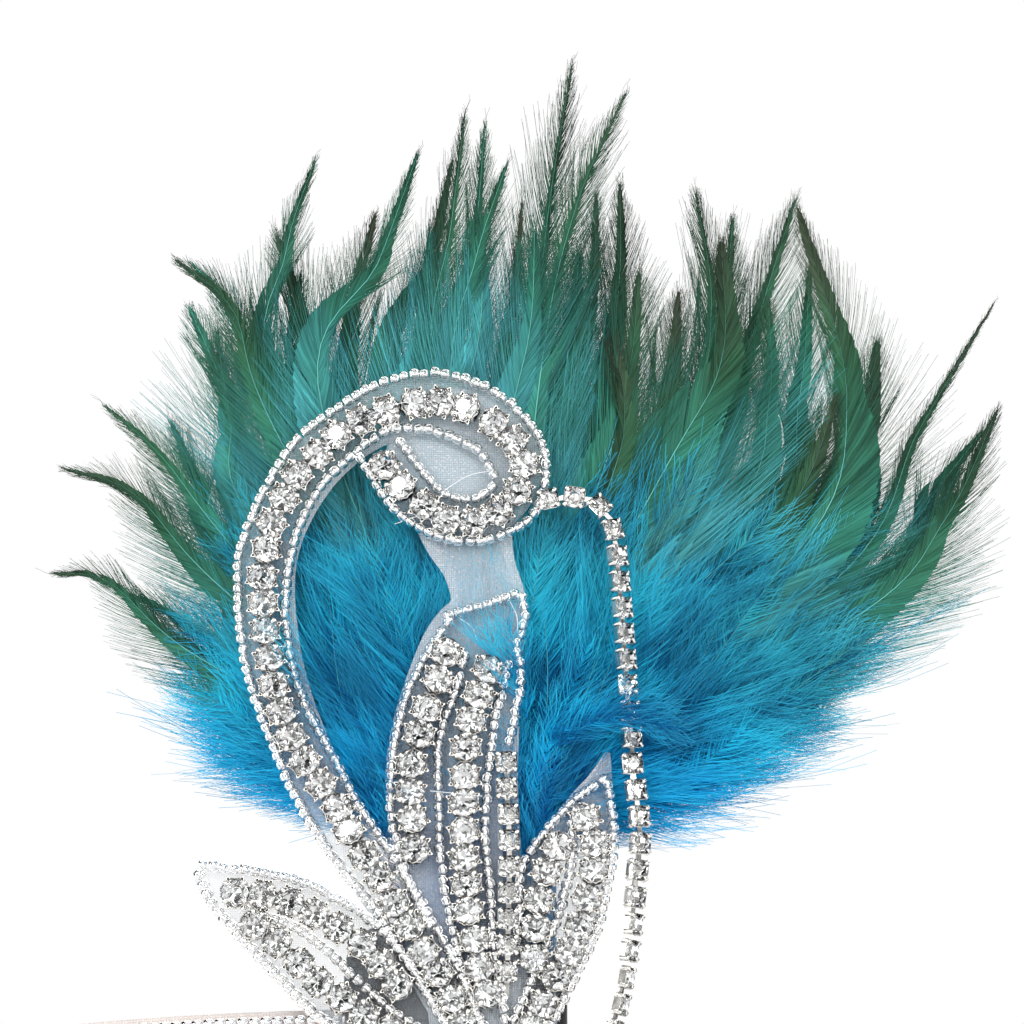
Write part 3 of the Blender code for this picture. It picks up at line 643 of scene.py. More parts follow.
class Look(Nodes):
    """A material with a Principled shader whose own sockets hold the values that don't vary."""

    def __init__(self, name, **values):
        self.material = bpy.data.materials.new(name)
        self.material.use_nodes = True
        super().__init__(self.material.node_tree)
        self.shade(**values)

    def shade(self, **values):
        """Give sockets of the shader their values, and return the material."""
        sockets = self.tree.nodes["Principled BSDF"].inputs
        for key, value in values.items():
            self.put(sockets[key.replace("_", " ")], value)
        return self.material

    @cached_property
    def place(self):
        """Where on the object each point is."""
        return self.node("TexCoord").outputs["Object"]

    @cached_property
    def cloth(self):
        """Where on its cloth each point is, in mm."""
        return self.node("UVMap", uv_map="UVMap").outputs[0]

    @cached_property
    def feather(self):
        """How far through the dye each point is, as X, and how far out on its barb, as Y."""
        return self.node("SeparateXYZ", {"Vector": self.cloth}).outputs

    @cached_property
    def tone(self):
        """The tone that each point of the mesh holds."""
        return self.node("Attribute", attribute_name="tone").outputs["Fac"]

    def noise(self, scale, detail=2.0, vector=None, **inputs):
        """Noise from 0 to 1 over the object, or over the vector given."""
        inputs.update(Vector=self.place if vector is None else vector, Scale=scale, Detail=detail)
        return self.node("TexNoise", inputs).outputs["Fac"]

    def drift(self, value, noise, much):
        """A value that a noise moves up and down."""
        return self.add(value, self.times(self.math("SUBTRACT", noise, 0.5), much))

    def wave(self, length, direction, distortion=0.0):
        """Waves across the cloth, of a length in mm."""
        inputs = {"Vector": self.cloth, "Scale": WAVE_LENGTH / length, "Distortion": distortion}
        return self.node("TexWave", inputs, bands_direction=direction).outputs["Fac"]

    def bump(self, height, strength, distance):
        """The normal of a surface that a height raises by up to a distance in mm."""
        inputs = {"Height": height, "Strength": strength, "Distance": distance * MM}
        return self.node("Bump", inputs).outputs[0]


def barb_material(settings):
    """Dyed barbs: bright blue turning teal, green and olive towards the tip, each barb its own shade."""
    look = Look("dyed_barbs", Roughness=0.5, Specular_IOR_Level=0.14)
    dye = look.ramp(
        look.drift(look.feather["X"], look.noise(60.0, 3.0), 0.3),
        (0.0, settings.deep_blue), (0.12, settings.turquoise), (0.32, settings.teal),
        (0.52, settings.green), (0.74, settings.dark_green), (1.0, settings.olive),
    )
    fringe = look.mix(look.feather["Y"], dye, settings.fringe)
    # The tone holds each barb's own shade and the painted side shade, and a noise adds lighter and darker
    # clouds at random.
    shade = look.add(look.times(look.tone, 1.2), look.times(look.noise(34.0), 1.8))
    shade = look.math("MAXIMUM", look.math("SUBTRACT", shade, 0.45), 0.3)
    dim = look.node("CombineColor", {"Red": shade, "Green": shade, "Blue": shade}).outputs[0]
    return look.shade(Base_Color=look.mix(1.0, fringe, dim, "MULTIPLY"))


def down_material(settings):
    """Dyed down with painted light and shade: a tone and a noise stand for how lit each strand is, so strands
    painted as lit stay bright and those painted in shade turn a deep blue.
    """
    look = Look("dyed_down", Roughness=0.6, Specular_IOR_Level=0.05)
    dye = look.ramp(
        look.drift(look.feather["X"], look.noise(50.0), 0.16), (0.0, settings.down_blue),
        (0.15, settings.down_turquoise), (0.34, settings.down_teal), (0.6, settings.teal),
    )
    # Painted light and shade: the tone, a noise and the share out along the barb set how lit each place
    # looks.
    light = look.drift(look.tone, look.noise(65.0), 3.6)
    light = look.add(light, look.times(look.feather["Y"], 0.4))
    shading = look.ramp(light, (0.05, (0.1, 0.2, 0.35)), (0.5, (0.5, 0.6, 0.72)), (1.0, WHITE))
    # Painted highlight: the lit end of the ramp is lifted above the dye's own colour.
    lift = look.mix(1.0, shading, (1.5, 1.3, 1.2), "MULTIPLY")
    strands = look.mix(1.0, dye, lift, "MULTIPLY")
    # The ends turn paler: partly the down's own paler tips, partly painted light through them.
    tips = look.times(look.feather["Y"], 0.85)
    return look.shade(Base_Color=look.mix(tips, strands, settings.down_tip))


def quill_material(settings):
    """Rachis: turquoise at the root, pale horn along most of it and dark towards the tip."""
    look = Look("dyed_quill", Roughness=0.3)
    return look.shade(Base_Color=look.ramp(
        look.feather["X"], (0.0, settings.turquoise), (0.35, settings.quill), (0.6, settings.quill),
        (0.8, settings.green), (1.0, settings.olive),
    ))


def metal_material(name, color, roughness):
    """Plated metal with small worn patches in its polish."""
    look = Look(name, Metallic=1.0)
    patches = look.noise(900.0)
    polish = look.node("MapRange", {"Value": patches, "To Min": roughness * 0.5, "To Max": roughness * 1.6})
    return look.shade(Roughness=polish.outputs[0], Base_Color=look.mix(patches, color, scaled(color, 0.72)))


def mottled_material(name, scale, one, two, **values):
    """A surface whose colour drifts between two from place to place."""
    look = Look(name, **values)
    return look.shade(Base_Color=look.mix(look.noise(scale), one, two))


def glass_material(name, color, ior, roughness):
    """Clear glass whose colour drifts a little."""
    return mottled_material(name, 500.0, color, WHITE, Roughness=roughness, IOR=ior, Transmission_Weight=1.0)


def woven_material(name, color, thread_color, pitch, glitter_and_glints, roughness, sheer=False):
    """Fine cloth: a weave that lightens and raises its threads, with white specks scattered on it: partly the
    cloth's glittering threads, partly painted glints.

    The weave is the higher of two sets of waves at right angles, a pitch apart in mm. Where the
    cloth is sheer, the tone of each place is how much its threads cover.
    """
    look = Look(name, Roughness=roughness, Sheen_Weight=0.3)
    threads = look.math("MAXIMUM", look.wave(pitch, "X", 0.6), look.wave(pitch, "Y", 0.6))
    slow = look.noise(0.25, 3.0, look.cloth)
    fine = look.noise(3.0, 2.0, look.cloth)
    # Painted glints: specks of noise, up to the given share, are mixed towards white in the colour.
    glints = look.node("MapRange", {"Value": fine, "From Min": 0.56, "From Max": 0.68, "To Max": glitter_and_glints})
    sparkle = glints.outputs[0]
    lit = look.mix(look.times(threads, 0.55), look.mix(slow, scaled(color, 0.62), color), thread_color)
    if sheer:
        closeness = look.add(look.times(threads, 0.8), 0.5)
        look.shade(Alpha=look.times(look.tone, look.add(closeness, look.times(sparkle, 0.3))))
    return look.shade(Base_Color=look.mix(sparkle, lit, WHITE), Normal=look.bump(threads, 0.35, 0.08))


def felt_material(settings):
    """Black felt: matted fibres that catch a little light."""
    look = Look("black_felt", Roughness=0.95, Sheen_Weight=0.5)
    fibres = look.noise(1400.0, 5.0, Distortion=1.5)
    color = look.ramp(fibres, (0.3, settings.felt), (0.75, scaled(settings.felt, 4)))
    return look.shade(Base_Color=color, Normal=look.bump(fibres, 0.7, 0.3))


def elastic_material(settings):
    """Black webbing: cords that run along it, crossed by a fine weft."""
    look = Look("black_elastic", Roughness=0.7, Sheen_Weight=0.2)
    height = look.add(look.wave(1.2, "Y"), look.times(look.wave(0.6, "X", 0.4), 0.4))
    color = look.ramp(height, (0.1, settings.felt), (1.0, scaled(settings.felt, 5)))
    return look.shade(Base_Color=color, Normal=look.bump(height, 0.8, 0.4))


def shared(maker, name, color, **values):
    """The material of that name, made the first time that a piece asks for it."""
    return bpy.data.materials.get(name) or maker(name, tuple(color), **values)


def jewel_looks(settings):
    """Crystal, the foil behind it, the metal of the settings, and near-black metal that paints the shadow
    inside them.
    """
    return [
        shared(glass_material, "cut_glass", settings.crystal, ior=1.62, roughness=0.0),
        shared(metal_material, "foil", grey(0.95), roughness=0.06),
        shared(metal_material, "setting_silver", settings.silver, roughness=0.2),
        shared(metal_material, "setting_shadow", grey(0.03), roughness=0.5),
    ]


def bead_looks(settings):
    """Bead glass and its silver lining."""
    return [
        shared(glass_material, "bead_glass", settings.crystal, ior=1.5, roughness=0.04),
        shared(metal_material, "bead_lining", (0.97, 0.97, 0.98), roughness=0.2),
    ]


# Feathers

HEAVIEST_PIECE = 160_000

# Share of the rachis at its last barb, least angle of a barb to it, mean length of barbs as a share
# of the profile, and how far back they curve
LAST_BARB = 0.995
LEAST_ANGLE = np.radians(12)
MEAN_LENGTH = 0.96
BARB_SAG = 0.012 / MM

# How unevenly barbs stand, how much their lengths differ and how far they stray from their vane
Scatter = namedtuple("Scatter", "uneven spread loose")
JOINED_SCATTER = Scatter(0.0, 0.03, 0.06 * MM)
FREE_SCATTER = Scatter(0.3, 0.16, 0.25 * MM)
SHADE_SCATTER = 0.18
TWIST_SCATTER = 0.5

# How much a feather's roll in degrees, its side shade and its tone and light differ from the others'. The
# side shade is painted shade: one side of the feather darker, the other lighter.
Habit = namedtuple("Habit", "roll fold tint")
HACKLE_HABIT = Habit(14, 0.16, 0.08)
DOWN_HABIT = Habit(18, 0.1, 0.2)

# Lift of a hackle's root, middle, bend and tip: a base, and its shares of the row's lift and lean
HACKLE_LIFTS = ((3.4, 0.3, 0.0), (1.8, 0.6, 0.0), (2.0, 0.8, 0.5), (2.2, 1.0, 1.0))
FIRST_HACKLE_BARB = 0.3
FIRST_DOWN_BARB = 0.12

Barbs = namedtuple(
    "Barbs", "joined per_mm angle turn close root_width tip_width wave gather clump stray steps pale profile",
)
VANE_BARBS = Barbs(
    joined=True, per_mm=1.8, angle=27, turn=0.5, close=0.4, root_width=0.0, tip_width=0.0, wave=0.1,
    gather=0.0, clump=30, stray=0.01, steps=3, pale=0.0, profile=(
        (0.15, 2.1), (0.45, 1.9), (0.58, 1.3), (0.7, 0.8), (0.82, 0.46), (0.91, 0.3), (0.97, 0.16),
        (1.0, 0.02),
    ),
)
WEB_BARBS = Barbs(
    joined=False, per_mm=3.4, angle=27, turn=0.55, close=0.4, root_width=0.17, tip_width=0.045, wave=0.2,
    gather=0.2, clump=14, stray=0.035, steps=3, pale=0.3,
    profile=((0.15, 2.8), (0.45, 2.7), (0.58, 2.3), (0.7, 1.6), (0.82, 0.9), (0.91, 0.45), (1.0, 0.04)),
)
FRINGE_BARBS = Barbs(
    joined=False, per_mm=0.9, angle=33, turn=0.55, close=0.4, root_width=0.1, tip_width=0.045, wave=0.35,
    gather=0.4, clump=6, stray=0.06, steps=4, pale=0.8,
    profile=((0.15, 1.0), (0.45, 1.05), (0.65, 0.95), (0.78, 0.68), (0.87, 0.34), (0.94, 0.12), (1.0, 0.02)),
)
DOWN_BARBS = Barbs(
    joined=False, per_mm=2.6, angle=36, turn=0.6, close=0.0, root_width=0.17, tip_width=0.06, wave=0.9,
    gather=0.8, clump=8, stray=0.16, steps=4, pale=0.7,
    profile=((0.0, 0.5), (0.3, 1.0), (0.7, 0.95), (0.9, 0.5), (1.0, 0.22)),
)
UNDER_BARBS = Barbs(
    joined=False, per_mm=1.5, angle=34, turn=0.5, close=0.0, root_width=1.0, tip_width=0.2, wave=0.6,
    gather=0.5, clump=5, stray=0.1, steps=3, pale=0.0,
    profile=((0.0, 0.6), (0.3, 1.0), (0.7, 0.8), (1.0, 0.2)),
)


def on_sight_line(points):
    """Places read off a picture as if they lay on the net, in mm, moved back onto their lines of sight.

    The eye is EYE_DISTANCE away and EYE_DROP below level. A point that lies some way behind the net
    is raised by that way times the drop's tangent, and moved out from the aim by its share of the
    distance.
    """
    x, height, lift = np.moveaxis(np.asarray(points, float), -1, 0)
    behind = NET_FRONT / MM - lift
    depth = behind + recede(x * MM) / MM
    share = depth * MM / EYE_DISTANCE
    return stacked(
        x + (x - AIM.x) * share, height + (height - AIM.z) * share + behind * np.tan(EYE_DROP), lift,
    )


def grow_barbs(curve, barbs, reach, first, roll, dye, rng, fold=0.0, tint=0.0):
    """Barbs on both sides of a rachis, as ribbons, or joined side by side into two vanes.

    A barb leaves the rachis at the angle and turns towards the tip as it goes, so its path is the
    running sum of the angle's cosine along the rachis and sine away from it. Its length makes its
    tip reach the profile's width there. Barbs of a clump lean together, and each twists a little.
    The side shade is painted shade: it makes one side darker and the other lighter, as light falls on a
    folded vane. The tone and light shifts both: random tone on every feather, and on down also painted light
    and shade.
    """
    length = lengths_along(curve)[-1]
    count = int(length / MM * barbs.per_mm * (1 - first))
    both = 2 * count
    scatter = JOINED_SCATTER if barbs.joined else FREE_SCATTER
    even = np.tile(np.linspace(first, LAST_BARB, count), 2)
    share = np.clip(even + rng.normal(0, 1, both) * (scatter.uneven / count), 0, 1)
    side = np.repeat([-1.0, 1.0], count)
    start, ahead = stations(curve, share)
    flat = unit(np.cross((0.0, 0.0, 1.0), ahead))
    square = np.cross(ahead, flat)
    across = (flat * np.cos(roll) + square * np.sin(roll)) * side[:, None]
    face = square * np.cos(roll) - flat * np.sin(roll)

    places, widths = zip(*barbs.profile)
    least, most = MEAN_LENGTH - scatter.spread, MEAN_LENGTH + scatter.spread
    wide = reach * np.interp(share, places, widths) * rng.uniform(least, most, both)
    clump = np.floor(np.arange(both) / barbs.clump + rng.random())
    lean = rng.normal(0, 1, int(clump.max()) + 1)[clump.astype(int)]
    angle = np.radians(barbs.angle) * (1 + barbs.stray * lean + rng.normal(0, 0.5 * barbs.stray, both))
    angle = np.maximum(angle * (1 - barbs.close * share ** 3), LEAST_ANGLE)
    columns = barbs.steps + 1
    t = np.linspace(0, 1, columns)
    turning = angle[:, None] * (1 - barbs.turn * t)
    run = np.cumsum(np.cos(turning), axis=1) - np.cos(turning)
    climb = np.cumsum(np.sin(turning), axis=1) - np.sin(turning)
    scale = (wide / climb[:, -1])[:, None]
    climb = climb * scale
    pull = ((clump + 0.5) * barbs.clump - np.arange(both)) * (length * (1 - first) / count) * barbs.gather
    run = run * scale + pull[:, None] * t ** 1.5
    phase = rng.uniform(0, TURN, (both, 2))
    ripple = barbs.wave * MM * t * np.sin(TURN * 0.8 * t + phase[:, :1])
    rise = barbs.wave * MM * t * np.sin(TURN * 0.6 * t + phase[:, 1:])
    rise = rise + rng.normal(0, scatter.loose, (both, 1)) * t - BARB_SAG * climb ** 2
    middle = (
        start[:, None] + ahead[:, None] * run[..., None] + across[:, None] * (climb + ripple)[..., None]
        + face[:, None] * rise[..., None]
    )
    uv = stacked(dye(share[:, None], middle), barbs.pale * t * (0.3 + 0.7 * share[:, None])).reshape(-1, 2)
    streak = 0.1 + 0.6 * barbs.stray
    # Painted shade: the side shade darkens one side of each feather and lightens the other. On down the whole
    # tone is painted light, read by the down's material.
    shade = 0.5 + tint + streak * lean + fold * side + rng.normal(0, SHADE_SCATTER, both)
    shade = np.clip(shade, 0, 1)
    if barbs.joined:
        faces = grid_faces(count, columns).reshape(count - 1, -1, 4)
        whole = (np.diff(clump.reshape(2, count)) == 0) | (rng.random((2, count - 1)) < 0.6)
        faces = [faces[keep].reshape(-1, 4) + k * count * columns for k, keep in enumerate(whole)]
        tone = np.repeat(shade, columns)
        return part(wrap(middle.reshape(-1, 3)), np.concatenate(faces), 0, True, uv, tone)
    twist = rng.normal(0, TWIST_SCATTER, (both, 1))
    width = (barbs.tip_width + (barbs.root_width - barbs.tip_width) * (1 - t) ** 2.6) * MM / 2
    edge = across[:, None] * np.cos(turning)[..., None] - ahead[:, None] * np.sin(turning)[..., None]
    half = (edge * np.cos(twist)[..., None] + face[:, None] * np.sin(twist)[..., None]) * width[None, :, None]
    points, faces = ribbons(middle, half)
    return part(wrap(points), faces, 0, True, np.repeat(uv, 2, axis=0), np.repeat(shade, columns * 2))


def grow_rachis(curve, dye, radius, first, steps=30):
    """The shaft of a feather: a thin rod that tapers to its tip, just in front of its barbs."""
    sides = 5
    share = np.linspace(first * 0.6, 1, steps)
    shaft, _ = stations(curve, share)
    points, faces = tube(shaft + np.array([0, 0, 0.1 * MM]), radius * (1 - 0.85 * share), sides)
    uv = np.repeat(np.column_stack([dye(share, shaft), np.zeros(steps)]), sides, axis=0)
    return part(wrap(points), faces, 1, True, uv, np.full(len(points), 0.5))


def hackle_dye(tip_tone, share, points):
    """Blue at the root to the hackle's own tone at its tip, by share along it."""
    return 0.08 + (0.2 + 0.84 * tip_tone) * np.clip(share, 0, 1) ** 1.15


def build_hackles(settings, rng):
    """Every hackle of the fan, from the table."""
    feathers = []
    for row in HACKLES:
        root = (HACKLE_ROOT.x + rng.normal(0, 2), HACKLE_ROOT.z + rng.normal(0, 1.5))
        places = (root, row.middle, row.bend, row.tip)
        lifts = [base + by_lift * row.lift + by_lean * row.lean for base, by_lift, by_lean in HACKLE_LIFTS]
        knots = [(*place, lift) for place, lift in zip(places, lifts)]
        curve = smooth_curve(on_sight_line(knots) * MM)
        roll = np.radians(rng.normal(0, HACKLE_HABIT.roll))
        # Painted shade: how much darker one side of the hackle is than the other.
        fold = rng.normal(0, HACKLE_HABIT.fold)
        tint = rng.normal(0, HACKLE_HABIT.tint)
        dye = partial(hackle_dye, row.tone)
        reach = row.reach * settings.hackle_fullness * MM
        joined = np.clip(0.5 - 0.3 * row.fringe, 0.12, 0.4)
        kinds = (
            (VANE_BARBS, joined * reach), (WEB_BARBS, 0.4 * reach), (FRINGE_BARBS, 0.85 * reach * row.fringe),
        )
        vanes = [
            grow_barbs(curve, barbs, width, FIRST_HACKLE_BARB, roll, dye, rng, fold, tint)
            for barbs, width in kinds
        ]
        feathers.append([*vanes, grow_rachis(curve, dye, radius=0.2 * MM, first=FIRST_HACKLE_BARB)])
    return feathers


def down_dye(share, points):
    """The dye of down goes with its height on the plume, and runs further on at its far left and right."""
    x, height = points[..., 0] / MM, points[..., 1] / MM
    left = 0.005 * np.maximum(-30 - x, 0) * np.clip((height - 55) / 20, 0, 1)
    right = 0.007 * np.maximum(x - 27, 0) * np.clip((height - 44) / 20, 0, 1)
    return np.clip((height - 50) / 150, 0, 1) + left + right + 0.02 * np.sin(x * 0.12)


def build_down(settings, rng):
    """Down feathers fanned out from the foot of the plume to its lower edge, in layers."""
    edge = smooth_curve(DOWN_EDGE)
    feathers = []
    for layer in DOWN_LAYERS:
        count = layer.count
        shares = np.linspace(layer.start, layer.end, count) + rng.normal(0, 0.4 / count, count)
        tips, _ = stations(edge, np.clip(shares, 0, 1), 2)
        for edge_point in tips:
            root = np.array([layer.root_x + rng.normal(0, 2.5), layer.root_z + rng.normal(0, 2)])
            tip = root + (edge_point - root) * layer.near * rng.uniform(0.88, 1.03)
            bow = np.array([-(tip - root)[1], (tip - root)[0]]) * rng.normal(0, 0.06)
            curve = smooth_curve(on_sight_line([
                (*root, layer.root_lift),
                (*(root + (tip - root) * 0.55 + bow), 0.4 * layer.root_lift + 0.6 * layer.lift),
                (*tip, layer.lift + rng.normal(0, 0.7)),
            ]) * MM)
            roll = np.radians(rng.normal(0, DOWN_HABIT.roll))
            reach = layer.reach * settings.down_fullness * rng.uniform(0.85, 1.15)
            barbs = UNDER_BARBS if layer.under else DOWN_BARBS
            # Painted shade: how much darker one side of the down feather is than the other.
            fold = rng.normal(0, DOWN_HABIT.fold)
            # Painted light: down whose tip reaches the low edge is made lighter.
            low = np.clip((62 - edge_point[1]) / 6, 0, 1)
            tint = layer.tint + 0.7 * low + rng.normal(0, DOWN_HABIT.tint)
            feathers.append([
                grow_barbs(curve, barbs, reach, FIRST_DOWN_BARB, roll, down_dye, rng, fold, tint),
                grow_rachis(curve, down_dye, radius=0.16 * MM, first=0.2, steps=12),
            ])
    for *knots, tint in FRONT_LOCKS:
        curve = smooth_curve(np.array(knots) * MM)
        reach = 0.4 * settings.down_fullness
        feathers.append([
            grow_barbs(curve, DOWN_BARBS, reach, first=0.1, roll=0.3, dye=down_dye, rng=rng, tint=tint),
        ])
    return feathers


def feather_pieces(name, feathers, looks):
    """Pieces of a few feathers each, so that none grows too heavy."""
    triangles = [2 * sum(len(group.faces) for one in feather for group in one.groups) for feather in feathers]
    piece = np.floor(np.cumsum(triangles) / HEAVIEST_PIECE).astype(int)
    for k in np.unique(piece):
        parts = [one for feather, at in zip(feathers, piece) if at == k for one in feather]
        wear(f"{name}_{k + 1}", parts, looks, "feather", "feather_plume")


# Stones, beads and chains

# Looks of a set stone's faces, in the order of jewel_looks
GLASS, FOIL, SILVER, SHADOW = range(4)


def cut_stone(radius, girdle, crown, depth):
    """A brilliant: table, eight stars, eight kites, sixteen girdle facets and a foiled eight-sided point."""
    eighth = around(8)
    points = np.vstack([
        np.column_stack([circle(0.56 * radius, eighth), np.full(8, girdle + crown)]),
        np.column_stack([circle(0.8 * radius, eighth + TURN / 16), np.full(8, girdle + 0.58 * crown)]),
        np.column_stack([circle(radius, around(16)), np.full(16, girdle)]),
        [[0.0, 0.0, girdle - depth]],
    ])
    k = np.arange(8)
    ahead = (k + 1) % 8
    kites = np.column_stack([k, 8 + (k - 1) % 8, 16 + 2 * k, 8 + k])
    stars = np.column_stack([k, 8 + k, ahead])
    first = np.column_stack([8 + k, 16 + 2 * k, 16 + 2 * k + 1])
    second = np.column_stack([8 + k, 16 + 2 * k + 1, 16 + (2 * k + 2) % 16])
    j = np.arange(0, 16, 2)
    point = np.column_stack([16 + j, np.full(8, 32), 16 + (j + 2) % 16, 16 + (j + 1) % 16])
    return points, [
        Group(k[None], GLASS, False),
        Group(kites, GLASS, False),
        Group(np.vstack([stars, first, second]), GLASS, False),
        Group(point, FOIL, False),
    ]


def prong(radius, angle, foot, tip, top, width):
    """A claw: a small bar that climbs the cup and bends over the stone, square and tapering."""
    out = np.array([radius + 0.12 * MM, radius + 0.1 * MM, radius - 0.1 * MM, tip])
    high = np.array([foot, top - 0.45 * MM, top - 0.08 * MM, top - 0.05 * MM])
    half = width / 2 * np.array([1.0, 1.0, 0.9, 0.55])
    thick = 0.16 * MM
    inner = np.stack([out - thick, high - 0.3 * thick], axis=-1)
    outer = np.stack([out + thick, high + 0.9 * thick], axis=-1)
    ring = [(inner, -1), (outer, -1), (outer, 1), (inner, 1)]
    points = np.stack([np.column_stack([line[:, 0], hand * half, line[:, 1]]) for line, hand in ring], axis=1)
    faces = np.vstack([grid_faces(4, 4, closed=True)[:, ::-1], [[12, 13, 14, 15]]])
    return points.reshape(-1, 3) @ turn_about_z(angle), [Group(faces, SILVER, True)]


def sewing_loop(place, way, large, thin):
    """A loop at the corner of a setting: a ring of wire, longer and wider to one way, with a near-black floor
    that paints the shadow inside it.
    """
    sides = 8
    points, faces = turned(circle(thin, around(6)) * (1, 2) + (large, 0), sides)
    floor = np.column_stack([circle(large, around(sides)), np.full(sides, -2 * thin)])
    groups = [Group(faces[:, ::-1], SILVER, True), Group(np.arange(sides)[None] + len(points), SHADOW, False)]
    points = np.vstack([points, floor])
    points[:, 0] *= 1.35
    points[:, 1] *= 0.8 + 0.3 * points[:, 0] / large
    return points @ turn_about_z(way) + place, groups


def claw_setting(size):
    """A sew-on stone: the cut stone, its pleated cup, four claws and four sewing loops."""
    radius = size / 2
    cup = np.array([(0.5, 0.1), (0.9, 0.2), (1.1, 1.55), (1.04, 1.75), (0.97, 1.6), (0.45, 0.3)])
    points, faces = turned(cup * np.array([radius, 1.0 * MM]), 24)
    pleat = np.where(np.arange(len(points)) % 2, 1.04, 0.96)
    points[:, :2] *= pleat[:, None]
    # Painted shadow: a near-black plate under the stone, dark in the cup's holes and the gaps between
    # settings.
    back, back_faces = turned([(0.2 * MM, 0.1 * MM), (radius, 0.1 * MM), (radius, 0.25 * MM)], 12)
    shapes = [
        cut_stone(radius, girdle=1.75 * MM, crown=0.75 * MM, depth=0.8 * radius),
        (points, [Group(faces[:, ::-1], SILVER, False)]),
        (back, [Group(back_faces[:, ::-1], SHADOW, False)]),
    ]
    for k in range(4):
        angle = TURN / 8 + k * TURN / 4
        shapes.append(prong(radius, angle, foot=0.3 * MM, tip=radius * 0.7, top=2.35 * MM, width=0.7 * MM))
    for angle in np.radians((64, 116, 244, 296)):
        corner = radius + 0.05 * MM
        place = np.array([corner * np.cos(angle), corner * np.sin(angle), 1.3 * MM])
        shapes.append(sewing_loop(place, angle + np.pi, large=0.46 * MM, thin=0.17 * MM))
    return join_shapes(shapes)


def cup_setting(size, pitch):
    """A chain stone: the stone in a square-shouldered cup with four claws, and the link to the next."""
    radius = size / 2
    cup = np.array([(0.6, 0.0), (0.94, 0.12), (1.0, 1.0), (0.93, 1.06), (0.88, 0.5), (0.5, 0.2)])
    points, faces = turned(cup * np.array([1.0, 1.35 * MM]), 8, TURN / 16)
    points[:, :2] = radius * np.sign(points[:, :2]) * np.abs(points[:, :2]) ** 0.6
    link = np.array([(x, y, z) for x in (0.0, pitch) for y in (-0.4, 0.4) for z in (0.25, 0.7)])
    link[:, 1:] *= MM
    box = np.array([(0, 1, 3, 2), (4, 6, 7, 5), (0, 4, 5, 1), (2, 3, 7, 6), (1, 5, 7, 3), (0, 2, 6, 4)])
    claws = [
        prong(radius * 1.1, angle, foot=0.2 * MM, tip=radius * 0.74, top=1.8 * MM, width=0.65 * MM)
        for angle in TURN / 8 + around(4)
    ]
    return join_shapes([
        cut_stone(radius * 0.97, girdle=1.35 * MM, crown=0.6 * MM, depth=1.2 * MM),
        (points, [Group(faces[:, ::-1], SILVER, False)]),
        *claws,
        (link, [Group(box, SILVER, False)]),
    ])


def seed_bead(size, length):
    """A short glass barrel with a hole along X, and the silver lining of that hole."""
    squarish = circle(1, around(6) + TURN / 12)
    squarish = np.sign(squarish) * np.abs(squarish) ** 0.75
    wall = size / 2 * 0.34
    profile = np.column_stack([size / 2 - wall + wall * squarish[:, 1], length / 2 * squarish[:, 0]])
    glass, faces = turned(profile, 8)
    lining, _ = turned([(size * 0.3, -0.46 * length), (size * 0.3, 0.46 * length)], 6)
    lie_down = np.array([[0, 0, 1], [0, 1, 0], [-1, 0, 0]])
    return join_shapes([
        (glass @ lie_down, [Group(faces, 0, True)]),
        (lining @ lie_down, [Group(grid_faces(2, 6, closed=True), 1, True)]),
    ])


def along_row(row, pitch, lift):
    """Places a pitch apart on a line of the ornament, and the way ahead at each."""
    curve = smooth_curve([(x * MM, z * MM, lift) for x, z in row])
    count = max(2, round(lengths_along(curve)[-1] / pitch) + 1)
    return stations(curve, np.linspace(0, 1, count))


BEAD_STRAY = (0.08 * MM, 0.08 * MM, 0.048 * MM)


def bead_parts(lines, size, rng):
    """Seed beads threaded along every line, each a little off true."""
    shape = seed_bead(size, size * 0.8)
    parts = []
    for row in lines.values():
        points, ahead = along_row(row, size * 0.88, NET_FRONT + size / 2)
        points = points + rng.normal(0, 1, points.shape) * np.array(BEAD_STRAY)
        count = len(points)
        axes = row_axes(ahead, 0.0, rng.normal(0, 0.12, count), rng.normal(0, 0.14, count))
        axes = axes * rng.uniform(0.93, 1.05, count)[:, None, None]
        parts.append(wrapped(copies(shape, points, axes)))
    return parts


# Cloth

STRIP_STEP = 1.6 * MM


def strip_sheet(sections, lift, columns):
    """A flat strip: at each station of the middle line, points from edge to edge across its width."""
    curve = smooth_curve(np.array(sections) * MM, 12)
    count = max(8, round(lengths_along(curve, 2)[-1] / STRIP_STEP))
    at, _ = stations(curve, np.linspace(0, 1, count), 2)
    middle, width = at[:, :2], at[:, 2]
    ahead = unit(np.gradient(middle, axis=0))
    side = np.column_stack([-ahead[:, 1], ahead[:, 0]])
    share = np.linspace(-0.5, 0.5, columns)
    flat = middle[:, None] + side[:, None] * (share[None, :, None] * width[:, None, None])
    points = np.concatenate([flat, np.full((*flat.shape[:2], 1), lift)], axis=-1)
    return points.reshape(-1, 3), grid_faces(count, columns)


def disc_sheet(disc, rings=9, sides=48):
    """A flat disc of rings round one middle point."""
    x, z, lift = disc.x * MM, disc.z * MM, disc.lift * MM
    radius = disc.radius * MM * np.linspace(0, 1, rings + 1)[1:, None]
    angle = around(sides)
    rim = stacked(x + radius * np.cos(angle), z + radius * np.sin(angle), lift).reshape(-1, 3)
    k = np.arange(sides)
    fan = np.column_stack([np.zeros(sides, int), 1 + k, 1 + (k + 1) % sides])
    groups = [Group(grid_faces(rings, sides, closed=True) + 1, 0, True), Group(fan, 0, True)]
    return np.vstack([[[x, z, lift]], rim]), groups


